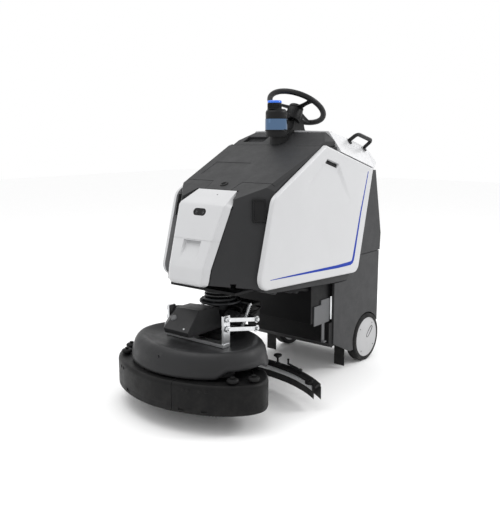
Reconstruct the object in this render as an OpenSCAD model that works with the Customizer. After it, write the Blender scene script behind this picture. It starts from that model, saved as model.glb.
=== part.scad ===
// Robotic floor cleaner with a pivoting front scrub head, drawn in millimetres.
// +Z is up, the front of the machine faces -Y, and the floor is Z = 0.
// Y is measured from the rear wheel axle line and then moved by y_shift,
// so that the finished machine is centred on the origin.

/* [Body] */
// Half width of the dark body shell
shell_hw = 262; // [258:1:266]
// Wall thickness of the moulded shells
wall = 4; // [3:0.5:5]
// How far the white side doors stand out from the body
door_t = 19; // [14:1:22]
// Thickness of the hood skin
hood_t = 12; // [8:1:14]

/* [Wheels] */
// Radius of the rear wheels
rear_r = 125; // [118:1:126]
// Tread width of the rear wheels
rear_w = 52; // [40:1:56]
// Radius of the steered drive wheel
drive_r = 100; // [92:1:101]
// Tread width of the drive wheel
drive_w = 54; // [40:1:58]

/* [Scrub head] */
// Half width of the skirt
skirt_a = 393; // [385:1:396]
// Half length of the skirt
skirt_b = 228; // [222:1:232]
// Radius of each brush disc
brush_r = 158; // [140:1:160]
// Distance of each brush axis from the centre plane
brush_x = 172; // [170:1:176]
// Height of the brush tips in the raised position
brush_z = 72; // [71:1:80]
// Radius of the small bumper rollers
roller_r = 24; // [18:1:25]

/* [Squeegee] */
// Half width of the squeegee
sq_hw = 452; // [430:1:455]
// Height of the blade tips in the raised position
sq_z = 53; // [52:1:60]

/* [Steering] */
// Radius of the steering wheel ring's centre line
ring_r = 135; // [125:1:138]
// Radius of the steering wheel ring's section
ring_t = 13.5; // [11:0.5:14]
// Tilt of the steering column towards the rear
column_tilt = 31.6; // [30:0.1:33]

/* [Hidden] */
y_shift = 125;
fit = 0.05;                      // radial clearance of every running fit
$fn = 64;
sx = [0, -400];                  // steering axis of the head, X and Y
dark = "#3a3b3d"; black = "#161718"; white = "#dfe0e2"; steel = "#b9bcc0";

// ---- helpers -----------------------------------------------------------
module T() translate([0, y_shift, 0]) children();
// extrude a (Y, Z) outline along X, from x0 to x0 + w
module yz(x0, w) translate([x0, 0, 0]) rotate([90, 0, 90]) linear_extrude(w) children();
// cylinder along X
module xcyl(x0, x1, y, z, r) translate([x0, y, z]) rotate([0, 90, 0]) cylinder(h = x1 - x0, r = r);
module zcyl(x, y, z0, z1, r) translate([x, y, z0]) cylinder(h = z1 - z0, r = r);
module box(a, b) translate(a) cube(b - a);
module both() { children(); mirror([1, 0, 0]) children(); }

function unit(v) = v / norm(v);
function rcorner(a, b, c, r, n) = r <= 0 ? [b] :
  let (u = unit(a - b), v = unit(c - b), g = acos(u * v), d = r / tan(g / 2),
       m = b + unit(u + v) * r / sin(g / 2), s = b + u * d, e = b + v * d,
       p = atan2(s[1] - m[1], s[0] - m[0]), q = atan2(e[1] - m[1], e[0] - m[0]),
       w = ((q - p + 540) % 360) - 180)
  [for (i = [0 : n]) m + r * [cos(p + w * i / n), sin(p + w * i / n)]];
// round the corners of an outline, one radius per corner
function rpoly(p, r, n = 6) = let (k = len(p))
  [for (i = [0 : k - 1]) each rcorner(p[(i + k - 1) % k], p[i], p[(i + 1) % k], is_list(r) ? r[i] : r, n)];
// move every edge of a counter-clockwise outline inwards by d
function inset(p, d) = let (k = len(p)) [for (i = [0 : k - 1])
  let (a = p[(i + k - 1) % k], b = p[i], c = p[(i + 1) % k], e = unit(b - a), f = unit(c - b),
       m = [-e[1], e[0]], n = [-f[1], f[0]]) b + (m + n) * d / (1 + m * n)];
// superellipse point at angle t
function sp(a, b, n, yc, t) = [a * sign(cos(t)) * pow(abs(cos(t)), 2 / n),
                              yc + b * sign(sin(t)) * pow(abs(sin(t)), 2 / n)];
function sup(a, b, n, yc, k = 72) = [for (i = [0 : k - 1]) sp(a, b, n, yc, 360 * i / k)];
// closed solid through a list of rings with equal point counts, capped at both ends
function mean(r) = [for (a = [0 : 2]) let (v = [for (q = r) q[a]]) v * [for (q = r) 1] / len(r)];
module loft(rings) {
  k = len(rings[0]); m = len(rings); c = m * k;
  polyhedron(concat([for (r = rings) each r], [mean(rings[0]), mean(rings[m - 1])]),
    concat([for (j = [0 : m - 2]) for (i = [0 : k - 1]) let (a = j * k + i, b = j * k + (i + 1) % k)
              each [[a, a + k, b + k], [a, b + k, b]]],
           [for (i = [0 : k - 1]) [i, (i + 1) % k, c]],
           [for (i = [0 : k - 1]) [(m - 1) * k + (i + 1) % k, (m - 1) * k + i, c + 1]]));
}

// ---- body outlines in the (Y, Z) plane ---------------------------------
// dark front shell
shell_o = [[-600, 556], [-450, 534], [-380, 505], [120, 467], [245, 462], [378.5, 1004], [120, 1078.5], [119, 1104], [-10.5, 1104], [-14, 1111.5], [-476, 901.3], [-584, 622]];
// inside of the shell: 4 mm walls, and 17 mm under the hood
shell_i = [[-594, 560], [-449, 538], [-379, 509], [120, 471], [242, 466], [373.5, 1001], [116, 1074], [115, 1100], [-4, 1100], [-22, 1089], [-470, 884], [-580, 622]];
// white side door
door_o = [[301.5, 493.7], [428, 995.5], [-0.5, 1113.5], [-387.5, 904.2], [-490.7, 531.6]];
door_r = [46, 6, 14, 60, 52];
// rear housings
upper_o = [[275, 569], [571, 569], [576, 657], [504, 984], [377.5, 984]];
lower_o = [[135, 160], [292, 85], [562, 85], [562, 566], [277, 566], [244, 458], [135, 460]];
// front corner facets: |x| - y + 0.2686 z = 868
facet_e = atan(0.2686 / sqrt(2));
facet_d = 868 / sqrt(2 + 0.2686 * 0.2686);
module facet(off) both() rotate([0, -facet_e, -45]) translate([facet_d - off, -1000, -1000]) cube([900, 2000, 3000]);
// hood plane: z = 1112 + 0.456 (y + 14), its own rotated frame has +Z normal to it
hood_a = atan(0.456);
module on_hood() translate([0, -322, 971.6]) rotate([hood_a, 0, 0]) children();
// bevel along each side of the hood, wide at the front and vanishing at the lid
module bevel(off) both() rotate([0, -39.55, -26.88]) translate([897 - off, -1500, -1500]) cube([600, 3000, 3000]);
// plan outline of the hood in its own frame, with the tongue that holds the lock
hood_o = [[-266, -25], [-82, -25], [-72, -98.5], [72, -98.5], [82, -25], [266, -25], [266, 327], [-266, 327]];
// front cover plane
cover_a = atan2(877 - 622, -514.5 + 615);

// ---- chassis, tanks and power -------------------------------------------
module chassis_frame() color(black) T() difference() {
  union() {
    box([-185, -520, 508], [185, 236, 520]);
    zcyl(0, -400, 478, 532, 60);
    box([-240, 135, 142], [240, 310, 150]);
    box([-186, 300, 142], [186, 430, 150]);
    box([-240, 135, 150], [240, 149, 455]);
    box([-190, 135, 455], [190, 149, 508]);
    both() box([150, 430, 100], [170, 480, 150]);
    both() box([150, 300, 142], [170, 480, 156]);
  }
  zcyl(0, -400, 470, 540, 30 + fit);
  xcyl(-200, 200, 450, rear_r, 10);
}
module front_bulkhead_box() color(black) T() difference() {
  union() {
    yz(-250, 500) polygon([[100, 170], [131, 142], [135, 142], [135, 270], [100, 270]]);
    yz(-232, 464) polygon([[-30, 290], [100, 268], [135, 268], [135, 462], [-30, 474]]);
  }
  yz(-244, 488) polygon([[106, 176], [129, 155], [129, 262], [106, 262]]);
  yz(-226, 452) polygon([[-24, 297], [100, 282], [129, 282], [129, 455], [-24, 466]]);
}
module battery_pack() color("#2b3138") T() difference() {
  box([-150, 200, 150], [150, 400, 400]);
  for (x = [-100, 0, 100]) box([x - 20, 196, 380], [x + 20, 404, 402]);
}
module solution_tank() color("#cfd6dc") T() difference() {
  yz(-180, 360) polygon([[-330, 520], [200, 520], [262, 760], [-330, 760]]);
  yz(-175, 350) polygon([[-325, 525], [196, 525], [255, 755], [-325, 755]]);
  zcyl(0, -200, 740, 780, 45);
}
module recovery_tank() color("#c9cfd4") T() difference() {
  yz(-220, 440) polygon([[-330, 760], [258, 760], [320, 980], [30, 1080], [-20, 1060], [-330, 886]]);
  yz(-215, 430) polygon([[-325, 765], [254, 765], [313, 976], [30, 1074], [-18, 1055], [-325, 883]]);
  translate([0, -200, 950]) rotate([hood_a, 0, 0]) cylinder(h = 60, r = 70);
}
module vacuum_motor() color("#4a4f55") T() {
  zcyl(0, 430, 573, 700, 70);
  zcyl(0, 430, 700, 760, 55);
  xcyl(-120, -50, 430, 660, 22);
}

// ---- body skins ----------------------------------------------------------
module body_shell() color(dark) T() difference() {
  yz(-shell_hw, 2 * shell_hw) polygon(shell_o);
  facet(0);
  bevel(0);
  difference() {
    yz(-shell_hw + wall, 2 * (shell_hw - wall)) polygon(shell_i);
    facet(wall);
    bevel(17);
  }
  // open underside and rear, tank mouth, front service opening
  box([-195, -540, 440], [195, 300, 560]);
  yz(-shell_hw + 12, 2 * (shell_hw - 12)) polygon([[200, 520], [300, 520], [420, 985], [300, 985]]);
  on_hood() box([-200, 60, -40], [200, 300, 30]);
  box([-70, -640, 600], [70, -470, 800]);
  // keyway under the hood lock
  on_hood() translate([0, -52, -45]) cylinder(h = 45, r = 37);
  // pockets for the hood and for the top of the front cover
  on_hood() translate([0, 0, -hood_t - 0.8]) linear_extrude(40) polygon(inset(hood_o, -1.6));
  on_hood() translate([0, 0, -32]) linear_extrude(60) polygon([[-118, -99.2], [-152, -206], [-152, -240], [152, -240], [152, -206], [118, -99.2]]);
}
module side_sensors() color(black) T() both()
  rotate([0, -facet_e, -45]) difference() {
    translate([facet_d + 0.2, -160, 706]) cube([13, 55, 96]);
    translate([facet_d + 9, -153, 714]) cube([10, 41, 80]);
  }
module top_lid() color(dark) T() difference() {
  union() {
    yz(-252, 504) polygon([[-9, 1105], [118, 1105], [118, 1171], [107, 1171], [-9, 1112]]);
  }
  // sloping ends and the hand recess on the right-hand side
  both() rotate([0, 38, 0]) translate([0, -60, 0]) translate([-900, 0, 1047]) cube([1300, 300, 300]);
  translate([-150, 40, 1138]) rotate([26.6, 0, 0]) cube([120, 52, 34], center = true);
}
function cap_ring(x, z, ys, dx, dz) = concat([for (i = [0 : 3]) [x[i] - dx, ys[i], z[i] - dz]],
  [[0, ys[4], z[3] - dz]], [for (i = [3 : -1 : 0]) [-x[i] + dx, ys[i], z[i] - dz]], [[0, ys[0], z[4] - dz]]);
module rear_cap() color(white) T() difference() {
  loft([cap_ring([258, 258, 256, 248], [1081, 996, 985, 985, 1081], [121, 431, 474, 484, 492], 0, 0),
        cap_ring([283, 283, 268, 250], [1083.5, 998.5, 1018, 1020, 1083.5], [121, 431, 478, 492, 500], 0, 0),
        cap_ring([279, 279, 266, 249], [1092, 1007, 1026, 1030, 1092], [121, 431, 479, 493, 501], 0, 0),
        cap_ring([214, 210, 203, 193], [1176, 1141, 1094, 1089, 1180], [121, 300, 492, 498, 503], 0, 0)]);
  loft([cap_ring([258, 258, 256, 248], [1071, 986, 975, 975, 1071], [127, 425, 466, 474, 482], 6, 0),
        cap_ring([283, 283, 268, 250], [1083.5, 998.5, 1018, 1020, 1083.5], [127, 425, 470, 482, 490], 8, 1),
        cap_ring([279, 279, 266, 249], [1092, 1007, 1026, 1030, 1092], [127, 425, 471, 483, 491], 8, 2),
        cap_ring([214, 210, 203, 193], [1176, 1141, 1094, 1089, 1180], [127, 300, 482, 488, 493], 5, 6)]);
}
module display_screen() color(black) T() translate([-95, 440, 1111.6]) rotate([-14, 0, 0])
  difference() { translate([-75, -45, 0]) cube([150, 90, 9]); translate([-68, -38, 7]) cube([136, 76, 4]); }
// square bar between two points
module bar(a, b, w) translate(a) rotate([0, atan2(norm([b[0] - a[0], b[1] - a[1]]), b[2] - a[2]), atan2(b[1] - a[1], b[0] - a[0])])
  translate([-w / 2, -w / 2, 0]) cube([w, w, norm(b - a)]);
// grip loop on the left-hand chamfer of the cap, leaning outwards
gh = [[228, 295, 1139], [250, 320, 1163], [250, 460, 1130], [228, 437, 1102]];
module grab_handle() color(black) T() {
  bar(gh[0], gh[1], 16);
  bar(gh[1] - unit(gh[2] - gh[1]) * 8, gh[2] + unit(gh[2] - gh[1]) * 8, 17);
  bar(gh[3], gh[2], 16);
}
module estop_base() color("#d9b21c") T() translate([120, 435, 1107.3]) rotate([-14.6, 0, 0]) difference() {
  cylinder(h = 12, r = 24);
  translate([0, 0, -1]) cylinder(h = 20, r = 9 + fit);
}
module estop_button() color("#c01818") T() translate([120, 435, 1107.3]) rotate([-14.6, 0, 0]) {
  translate([0, 0, 17]) cylinder(h = 14, r = 19);
  translate([0, 0, 5]) cylinder(h = 13, r = 9);
}
module rear_upper_housing() color(dark) T() difference() {
  yz(-255, 510) polygon(upper_o);
  yz(-255 + wall, 2 * (255 - wall)) polygon(inset(upper_o, wall));
  yz(-235, 470) polygon([[250, 590], [300, 590], [400, 990], [330, 990]]);
  box([-225, 400, 970], [225, 480, 1040]);
}
module rear_lower_housing() color(dark) T() difference() {
  yz(-255, 510) polygon(lower_o);
  both() xcyl(192, 270, 450, rear_r, rear_r + 6);
  difference() {
    yz(-255 + wall, 2 * (255 - wall)) polygon(inset(lower_o, wall));
    both() xcyl(188, 270, 450, rear_r, rear_r + 10);
  }
  xcyl(-260, 260, 450, rear_r, 13);
  // open front wall and underside, taken by the chassis
  box([-243, 120, 138], [243, 150, 500]);
  box([-243, 130, 60], [243, 440, 158]);
}
module rear_axle() color(steel) T() xcyl(-254, 254, 450, rear_r, 10 - fit + 0.04);
module rear_tyre(s) color(black) T() difference() {
  xcyl(260 - rear_w, 260, 450, rear_r, rear_r);
  xcyl(200, 270, 450, rear_r, rear_r - 22);
}
module rear_tyre_left() rear_tyre(1);
module rear_tyre_right() mirror([1, 0, 0]) rear_tyre(1);
module rear_hub() color(white) T() difference() {
  union() {
    xcyl(262 - rear_w, 258, 450, rear_r, rear_r - 22);
    xcyl(256, 261, 450, rear_r, 100);
  }
  xcyl(200, 255, 450, rear_r, 10 + fit);
}
module rear_hub_left() rear_hub();
module rear_hub_right() mirror([1, 0, 0]) rear_hub();
module rubber_flaps() color(black) T() both() box([184, 258, 14], [242, 263, 141.8]);
module access_panel() color("#8c9094") T() {
  yz(232.2, 5) polygon([[-8, 275], [122, 275], [122, 390], [50, 390], [50, 368], [-8, 368]]);
  zcyl(240, 127.5, 286, 398, 6);
  yz(234, 4) polygon([[57, 184], [79, 184], [79, 280], [57, 280]]);
  box([234, 57, 184], [250, 79, 190]);
}

// ---- tower, lidar and steering wheel -------------------------------------
wc = [0, 165, 1289];            // centre of the steering wheel ring
module column_axis() translate(wc) rotate([-column_tilt, 0, 0]) children();
module tower_bracket() color(black) T() difference() {
  union() {
    zcyl(0, 4, 1150, 1182, 50);
    intersection() {
      zcyl(0, 30, 1100, 1160, 44);
      yz(-60, 120) polygon([[-30, 1113], [-9, 1113], [85, 1161], [-30, 1161]]);
    }
    yz(-26, 52) polygon(rpoly([[60, 1148], [102, 1173], [119, 1181], [192, 1164], [222, 1158], [200, 1186], [186, 1225], [176, 1262], [126, 1262], [118, 1232], [100, 1190], [60, 1162]], [0, 0, 0, 0, 4, 16, 10, 0, 0, 10, 10, 0]));
    column_axis() translate([0, 0, -74]) cylinder(h = 56, r = 38);
  }
  column_axis() translate([0, 0, -80]) cylinder(h = 90, r = 12 + fit);
}
module lidar_window() color("#8fb0d8") T() difference() {
  zcyl(0, 4, 1182, 1232, 52);
  zcyl(0, 4, 1180, 1240, 46);
}
module lidar_cap() color(black) T() {
  zcyl(0, 4, 1232, 1270, 50);
  zcyl(0, 4, 1182.5, 1236, 40);
  zcyl(0, -4, 1268, 1277, 41);
  zcyl(0, -10, 1272, 1304, 31);
  box([-20, 40, 1238], [20, 88, 1262]);
  for (a = [10 : 20 : 350]) translate([0, -10, 1280]) rotate(a) translate([28, -2.5, 0]) cube([5, 5, 20]);
}
module beacon_light() color("#2f6fe0") T() zcyl(0, -10, 1304, 1316, 33.4);
module steering_wheel() color(black) T() column_axis() {
  rotate_extrude($fn = 72) translate([ring_r, 0]) circle(ring_t, $fn = 20);
  translate([0, 0, -16]) cylinder(h = 20, r = 36);
  translate([0, 0, -70]) cylinder(h = 60, r = 12);
  for (a = [90, 205, 335]) rotate(a) translate([28, -11, -12]) cube([ring_r - 30, 22, 11]);
}

// ---- opening skins ---------------------------------------------------------
module hood() color(dark) T() difference() {
  on_hood() difference() {
    translate([0, 0, -hood_t]) linear_extrude(hood_t) polygon(hood_o);
    translate([0, -52, -30]) cylinder(h = 60, r = 12 + fit);
    // service flap outline, a shallow step
    translate([-205, 30, -1.4]) linear_extrude(4) polygon([[0, 0], [0, 122], [205, 122], [225, 34], [215, 0]]);
  }
  bevel(0);
}
module hood_lock() color("#222") T() on_hood() translate([0, -52, 0]) {
  translate([0, 0, 0.4]) cylinder(h = 4, r = 19);
  translate([0, 0, -17]) cylinder(h = 18, r = 12);
  translate([-6, -6, -25]) cube([12, 38, 8]);
}
module front_cover() color(white) T() difference() {
  loft([[[-86, -610, 546], [86, -610, 546], [100, -599, 552], [-100, -599, 552]],
        [[-90, -624, 552], [90, -624, 552], [116, -606, 556], [-116, -606, 556]],
        [[-95, -615, 622], [95, -615, 622], [118, -592, 622], [-118, -592, 622]],
        [[-127, -514.5, 877], [127, -514.5, 877], [147, -497, 866], [-147, -497, 866]],
        [[-108, -414, 930], [108, -414, 930], [111, -408, 910], [-111, -408, 910]]]);
  loft([[[-80, -612, 566], [80, -612, 566], [96, -570, 566], [-96, -570, 566]],
        [[-89, -608, 622], [89, -608, 622], [106, -560, 622], [-106, -560, 622]],
        [[-121, -508, 872], [121, -508, 872], [136, -440, 840], [-136, -440, 840]],
        [[-103, -420, 918], [103, -420, 918], [105, -390, 880], [-105, -390, 880]]]);
  // window hole and the hand pocket
  translate([0, -527.5, 844]) rotate([cover_a, 0, 0]) { both() translate([20, 0, -30]) cylinder(h = 60, r = 16.2); translate([-20, -16.2, -30]) cube([40, 32.4, 60]); }
}
module camera_window() color(black) T() translate([0, -527.5, 844]) rotate([cover_a, 0, 0]) difference() {
  union() { both() translate([20, 0, -14]) cylinder(h = 12, r = 16); translate([-20, -16, -14]) cube([40, 32, 12]); }
  for (x = [-18, 18]) translate([x, 0, -4]) cylinder(h = 8, r = 7);
}
module side_door() color(white) T() difference() {
  yz(266, door_t) polygon(rpoly(door_o, door_r));
  yz(260, door_t) polygon(inset(rpoly(door_o, door_r), 5));
  // finger slot
  yz(270, 40) polygon([[6, 1056], [104, 1028], [96, 1008], [8, 1032]]);
}
module side_door_left() side_door();
module side_door_right() mirror([1, 0, 0]) side_door();

// ---- scrub head: turret and drive ------------------------------------------
module turret_boot() color(black) T() {
  for (z = [489, 474]) translate([0, -400, z]) rotate_extrude() translate([60.3, -7]) square([9.7, 12.5]);
}
module turret_spindle() color("#2a2b2d") T() {
  zcyl(0, -400, 461, 545, 30);
  zcyl(0, -400, 436, 462, 92);
  zcyl(0, -400, 532.6, 545, 44);
  zcyl(0, -400, 400, 437, 32);
}
module head_fork() color("#232426") T() difference() {
  union() {
    box([-34, -432, 330], [34, -340, 404]);
    box([-60, -470, 310], [60, -300, 330]);
    both() box([38, -440, 60], [46, -300, 311]);
    xcyl(-182, 182, -360, 375, 10);
    xcyl(-182, 182, -360, 335, 8);
    xcyl(-62, 62, -285, 150, 10);
    both() box([38, -301, 136], [46, -272, 200]);
  }
  zcyl(0, -400, 390, 420, 32);
  xcyl(-60, 60, -400, drive_r, 12 + fit);
}
module drive_unit_cover() color(dark) T() difference() {
  loft([[[-150, -585, 330], [-104, -640, 330], [36, -640, 330], [36, -436, 330], [-150, -436, 330]],
        [[-150, -598, 352], [-104, -648, 352], [36, -648, 352], [36, -436, 352], [-150, -436, 352]],
        [[-150, -530, 412], [-104, -560, 424], [20, -560, 428], [20, -436, 424], [-150, -436, 412]]]);
  loft([[[-145, -583, 326], [-102, -634, 326], [30, -634, 326], [30, -441, 326], [-145, -441, 326]],
        [[-145, -594, 352], [-102, -642, 352], [30, -642, 352], [30, -441, 352], [-145, -441, 352]],
        [[-145, -530, 406], [-102, -557, 418], [16, -557, 422], [16, -441, 418], [-145, -441, 406]]]);
}
module drive_tyre() color(black) T() difference() {
  xcyl(-drive_w / 2, drive_w / 2, -400, drive_r, drive_r);
  xcyl(-40, 40, -400, drive_r, drive_r - 24);
}
module drive_hub() color("#6d7278") T() {
  xcyl(-drive_w / 2 + 3, drive_w / 2 - 3, -400, drive_r, drive_r - 24);
  xcyl(-33, 33, -400, drive_r, 26);
  xcyl(-58, 58, -400, drive_r, 12);
}
// parallel lift arms, head end at y = -360
arm_l = 190; arm_t = 11;
arm_e = [-360 - arm_l * cos(arm_t), arm_l * sin(arm_t)];
module lift_pair(z, rp) both() difference() {
  translate([166, -360, z]) rotate([-arm_t, 0, 0]) mirror([0, 1, 0]) union() {
    translate([0, 0, 0]) rotate([0, 90, 0]) cylinder(h = 9, r = 15);
    translate([0, arm_l, 0]) rotate([0, 90, 0]) cylinder(h = 9, r = 13);
    translate([0, 0, -9]) cube([9, arm_l, 18]);
  }
  xcyl(160, 184, -360, z, rp + fit);
  xcyl(160, 184, arm_e[0], z + arm_e[1], 7 + fit);
}
module lift_arms_upper() color(steel) T() lift_pair(375, 10);
module lift_arms_lower() color(steel) T() lift_pair(335, 8);

// ---- scrub deck --------------------------------------------------------------
dy = -540;                       // centre of the deck cover
ky = -598;                       // centre of the skirt and the brush discs
module wheel_gap(hw, y0) box([-hw, y0, 150], [hw, -200, 350]);
module deck_cover() color(dark) T() difference() {
  loft([[for (p = sup(318, 252, 1.95, dy, 56)) [p[0], p[1], 213]],
        [for (p = sup(323, 257, 1.95, dy, 56)) [p[0], p[1], 226]],
        [for (p = sup(312, 240, 2, dy, 56)) [p[0], p[1], 282]],
        [for (p = sup(290, 214, 2, dy, 56)) [p[0], p[1], 308]],
        [for (p = sup(276, 200, 2, dy, 56)) [p[0], p[1], 312]],
        [for (p = sup(225, 150, 2, dy, 56)) [p[0], p[1], 292]]]);
  loft([[for (p = sup(313, 247, 1.95, dy, 56)) [p[0], p[1], 212]],
        [for (p = sup(318, 252, 1.95, dy, 56)) [p[0], p[1], 226]],
        [for (p = sup(306, 234, 2, dy, 56)) [p[0], p[1], 280]],
        [for (p = sup(287, 211, 2, dy, 56)) [p[0], p[1], 302]],
        [for (p = sup(276, 200, 2, dy, 56)) [p[0], p[1], 306]],
        [for (p = sup(225, 150, 2, dy, 56)) [p[0], p[1], 286]]]);
  wheel_gap(66, -500);
  // side rims lifted over the bumper rollers
  both() box([262, -800, 205], [340, -440, 240]);
}
module deck_plate() color(black) T() difference() {
  translate([0, 0, 190]) linear_extrude(8) polygon(sup(362, 198, 2, ky, 64));
  wheel_gap(66, -500);
  both() zcyl(brush_x, ky, 180, 210, 22);
}
module deck_saddle() color("#55585c") T() {
  box([-165, -572, 294], [165, -532, 308]);
  both() box([152, -566, 292], [163, -526, 426]);
  both() for (z = [335, 375]) xcyl(160, 182, arm_e[0], z + arm_e[1], 7);
  both() box([120, -566, 292], [152, -532, 300]);
}
module brush_motors() color("#43474c") T() both() difference() {
  union() { zcyl(brush_x, ky, 198, 216, 62); zcyl(brush_x, ky, 216, 276, 48); }
  zcyl(brush_x, ky, 190, 224, 10);
}
function arcpts(a, b, n, yc, t0, t1, k) = [for (i = [0 : k]) sp(a, b, n, yc, t0 + (t1 - t0) * i / k)];
// wall and top ledge of the skirt between two angles
module skirt(t0, t1) {
  k = 30;
  translate([0, 0, 86]) linear_extrude(118) polygon(concat(arcpts(skirt_a, skirt_b, 1.8, ky, t0, t1, k), arcpts(skirt_a - 10, skirt_b - 10, 1.8, ky, t1, t0, k)));
  translate([0, 0, 198.2]) linear_extrude(8) polygon(concat(arcpts(skirt_a - 5, skirt_b - 5, 1.8, ky, t0, t1, k), arcpts(322, 166, 1.9, ky, t1, t0, k)));
}
roller_p = [[306, -679], [355, -609]];
module skirt_side(t0, t1, s) difference() {
  union() {
    skirt(t0, t1);
    for (p = roller_p) zcyl(s * p[0], p[1], 205, 230, 6);
    for (p = roller_p) zcyl(s * p[0], p[1], 205, 208, 12);
  }
  for (p = roller_p) zcyl(s * p[0], p[1], 215, 240, 2.5);
}
module skirt_left() color(black) T() skirt_side(-72.3, 36, 1);
module skirt_right() color(black) T() skirt_side(-72.7, -216, -1);
module roller(x, y) difference() {
  rotate_extrude() translate([x * 0, 0]) polygon([[6 + fit, 209], [roller_r - 5, 209], [roller_r, 214], [roller_r, 222], [roller_r - 5, 227], [6 + fit, 227]]);
}
module roller_front_left() color(black) T() translate([roller_p[0][0], roller_p[0][1], 0]) roller(0, 0);
module roller_rear_left() color(black) T() translate([roller_p[1][0], roller_p[1][1], 0]) roller(0, 0);
module roller_front_right() color(black) T() translate([-roller_p[0][0], roller_p[0][1], 0]) roller(0, 0);
module roller_rear_right() color(black) T() translate([-roller_p[1][0], roller_p[1][1], 0]) roller(0, 0);
module brush(s) translate([s * brush_x, ky, 0]) {
  translate([0, 0, 142]) cylinder(h = 16, r = brush_r - 3);
  translate([0, 0, 158]) cylinder(h = 22, r1 = 60, r2 = 19);
  translate([0, 0, 170]) cylinder(h = 20, r = 18);
  translate([0, 0, 180]) cylinder(h = 38, r = 10 - fit);
  difference() {
    translate([0, 0, brush_z]) cylinder(h = 142 - brush_z, r = brush_r);
    translate([0, 0, brush_z - 1]) cylinder(h = 66, r = 70);
  }
}
module brush_left() color("#20242c") T() brush(1);
module brush_right() color("#20242c") T() brush(-1);

// ---- squeegee ------------------------------------------------------------------
function sqy(x) = -165 - 127 * pow(abs(x) / 455, 2.6);
// strip that follows the squeegee curve between offsets u0 and u1
module sq_strip(hw, u0, u1, z0, z1, k = 32) translate([0, 0, z0]) linear_extrude(z1 - z0)
  polygon(concat([for (i = [0 : k]) let (x = -hw + 2 * hw * i / k) [x, sqy(x) + u0]],
                 [for (i = [k : -1 : 0]) let (x = -hw + 2 * hw * i / k) [x, sqy(x) + u1]]));
sq_p = [-285 + 98 * cos(15), 150 + 98 * sin(15)];
module squeegee_arm() color(steel) T() both() difference() {
  union() {
    hull() { xcyl(50, 58, -285, 150, 17); xcyl(50, 58, sq_p[0], sq_p[1], 14); }
  }
  xcyl(40, 70, -285, 150, 10 + fit);
  xcyl(40, 70, sq_p[0], sq_p[1], 8 + fit);
}
module squeegee_frame() color(black) T() difference() {
  union() {
    sq_strip(sq_hw - 6, -24, 20, 110, 122);
    both() box([36, sq_p[0] - 14, 120], [46, sq_p[0] + 14, sq_p[1] + 14]);
    xcyl(-62, 62, sq_p[0], sq_p[1], 8);
    zcyl(0, -150, 118, 165, 30);
    both() zcyl(396, -268, 109.8, 122, 26);
    both() zcyl(300, -212, 121, 130, 9);
  }
  zcyl(0, -150, 100, 170, 24);
  box([-20, -170, 100], [20, -140, 118]);
  zcyl(300, -212, 100, 140, 3 + fit);
}
module squeegee_blades() color("#202020") T() {
  sq_strip(sq_hw, 14, 18, sq_z, 109.6);
  sq_strip(sq_hw - 22, -22, -19, sq_z + 2, 109.6);
}
module squeegee_clamps() color("#a9acae") T() {
  sq_strip(sq_hw - 14, 18.2, 20.4, 88, 109.4);
  sq_strip(sq_hw - 34, -24.4, -22.2, 88, 109.4);
}
module squeegee_knobs() color(black) T() for (x = [-150, 150]) translate([x, sqy(x) - 2, 0]) {
  zcyl(0, 0, 122.2, 150, 5);
  zcyl(0, 0, 122.2, 126, 12);
  translate([0, 0, 150]) cylinder(h = 12, r1 = 8, r2 = 19);
  translate([0, 0, 162]) cylinder(h = 5, r = 19);
}
module squeegee_lever() color(black) T() {
  zcyl(300, -212, 110, 138, 3);
  zcyl(300, -212, 130.3, 138, 11);
  translate([300, -212, 131]) rotate(158) translate([0, -5, 0]) cube([104, 10, 6]);
  translate([300, -212, 131]) rotate(158) translate([96, 0, 0]) cylinder(h = 26, r = 4.5);
}

chassis_frame();
front_bulkhead_box();
battery_pack();
solution_tank();
recovery_tank();
vacuum_motor();
body_shell();
side_sensors();
top_lid();
rear_cap();
display_screen();
grab_handle();
estop_base();
estop_button();
rear_upper_housing();
rear_lower_housing();
rear_axle();
rear_tyre_left();
rear_hub_left();
rear_tyre_right();
rear_hub_right();
rubber_flaps();
access_panel();
tower_bracket();
lidar_window();
lidar_cap();
beacon_light();
steering_wheel();
hood();
hood_lock();
front_cover();
camera_window();
side_door_left();
side_door_right();
turret_boot();
turret_spindle();
head_fork();
drive_unit_cover();
drive_tyre();
drive_hub();
lift_arms_upper();
lift_arms_lower();
deck_cover();
deck_plate();
deck_saddle();
brush_motors();
skirt_left();
skirt_right();
brush_left();
brush_right();
roller_front_left();
roller_rear_left();
roller_front_right();
roller_rear_right();
squeegee_arm();
squeegee_frame();
squeegee_blades();
squeegee_clamps();
squeegee_knobs();
squeegee_lever();
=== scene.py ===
import math
import random

import bmesh
import bpy
from mathutils import Matrix, Vector
from mathutils.geometry import delaunay_2d_cdt


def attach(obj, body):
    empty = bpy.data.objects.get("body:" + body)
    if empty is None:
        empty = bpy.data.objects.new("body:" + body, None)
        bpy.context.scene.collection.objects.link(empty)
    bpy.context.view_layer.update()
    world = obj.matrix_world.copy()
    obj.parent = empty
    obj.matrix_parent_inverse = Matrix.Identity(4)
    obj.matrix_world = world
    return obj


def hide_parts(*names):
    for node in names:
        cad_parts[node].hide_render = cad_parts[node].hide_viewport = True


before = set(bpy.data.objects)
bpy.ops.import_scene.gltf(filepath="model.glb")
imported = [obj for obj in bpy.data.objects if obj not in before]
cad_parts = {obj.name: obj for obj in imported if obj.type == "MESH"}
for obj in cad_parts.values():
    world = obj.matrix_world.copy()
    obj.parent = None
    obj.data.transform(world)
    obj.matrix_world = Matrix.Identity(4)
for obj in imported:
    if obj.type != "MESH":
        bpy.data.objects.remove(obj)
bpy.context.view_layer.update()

rnd = random.Random(7)
YS = 125.0


# ---------------------------------------------------------------- helpers
def P(x, y, z):
    return Vector((x / 1000, (y + YS) / 1000, z / 1000))


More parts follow.
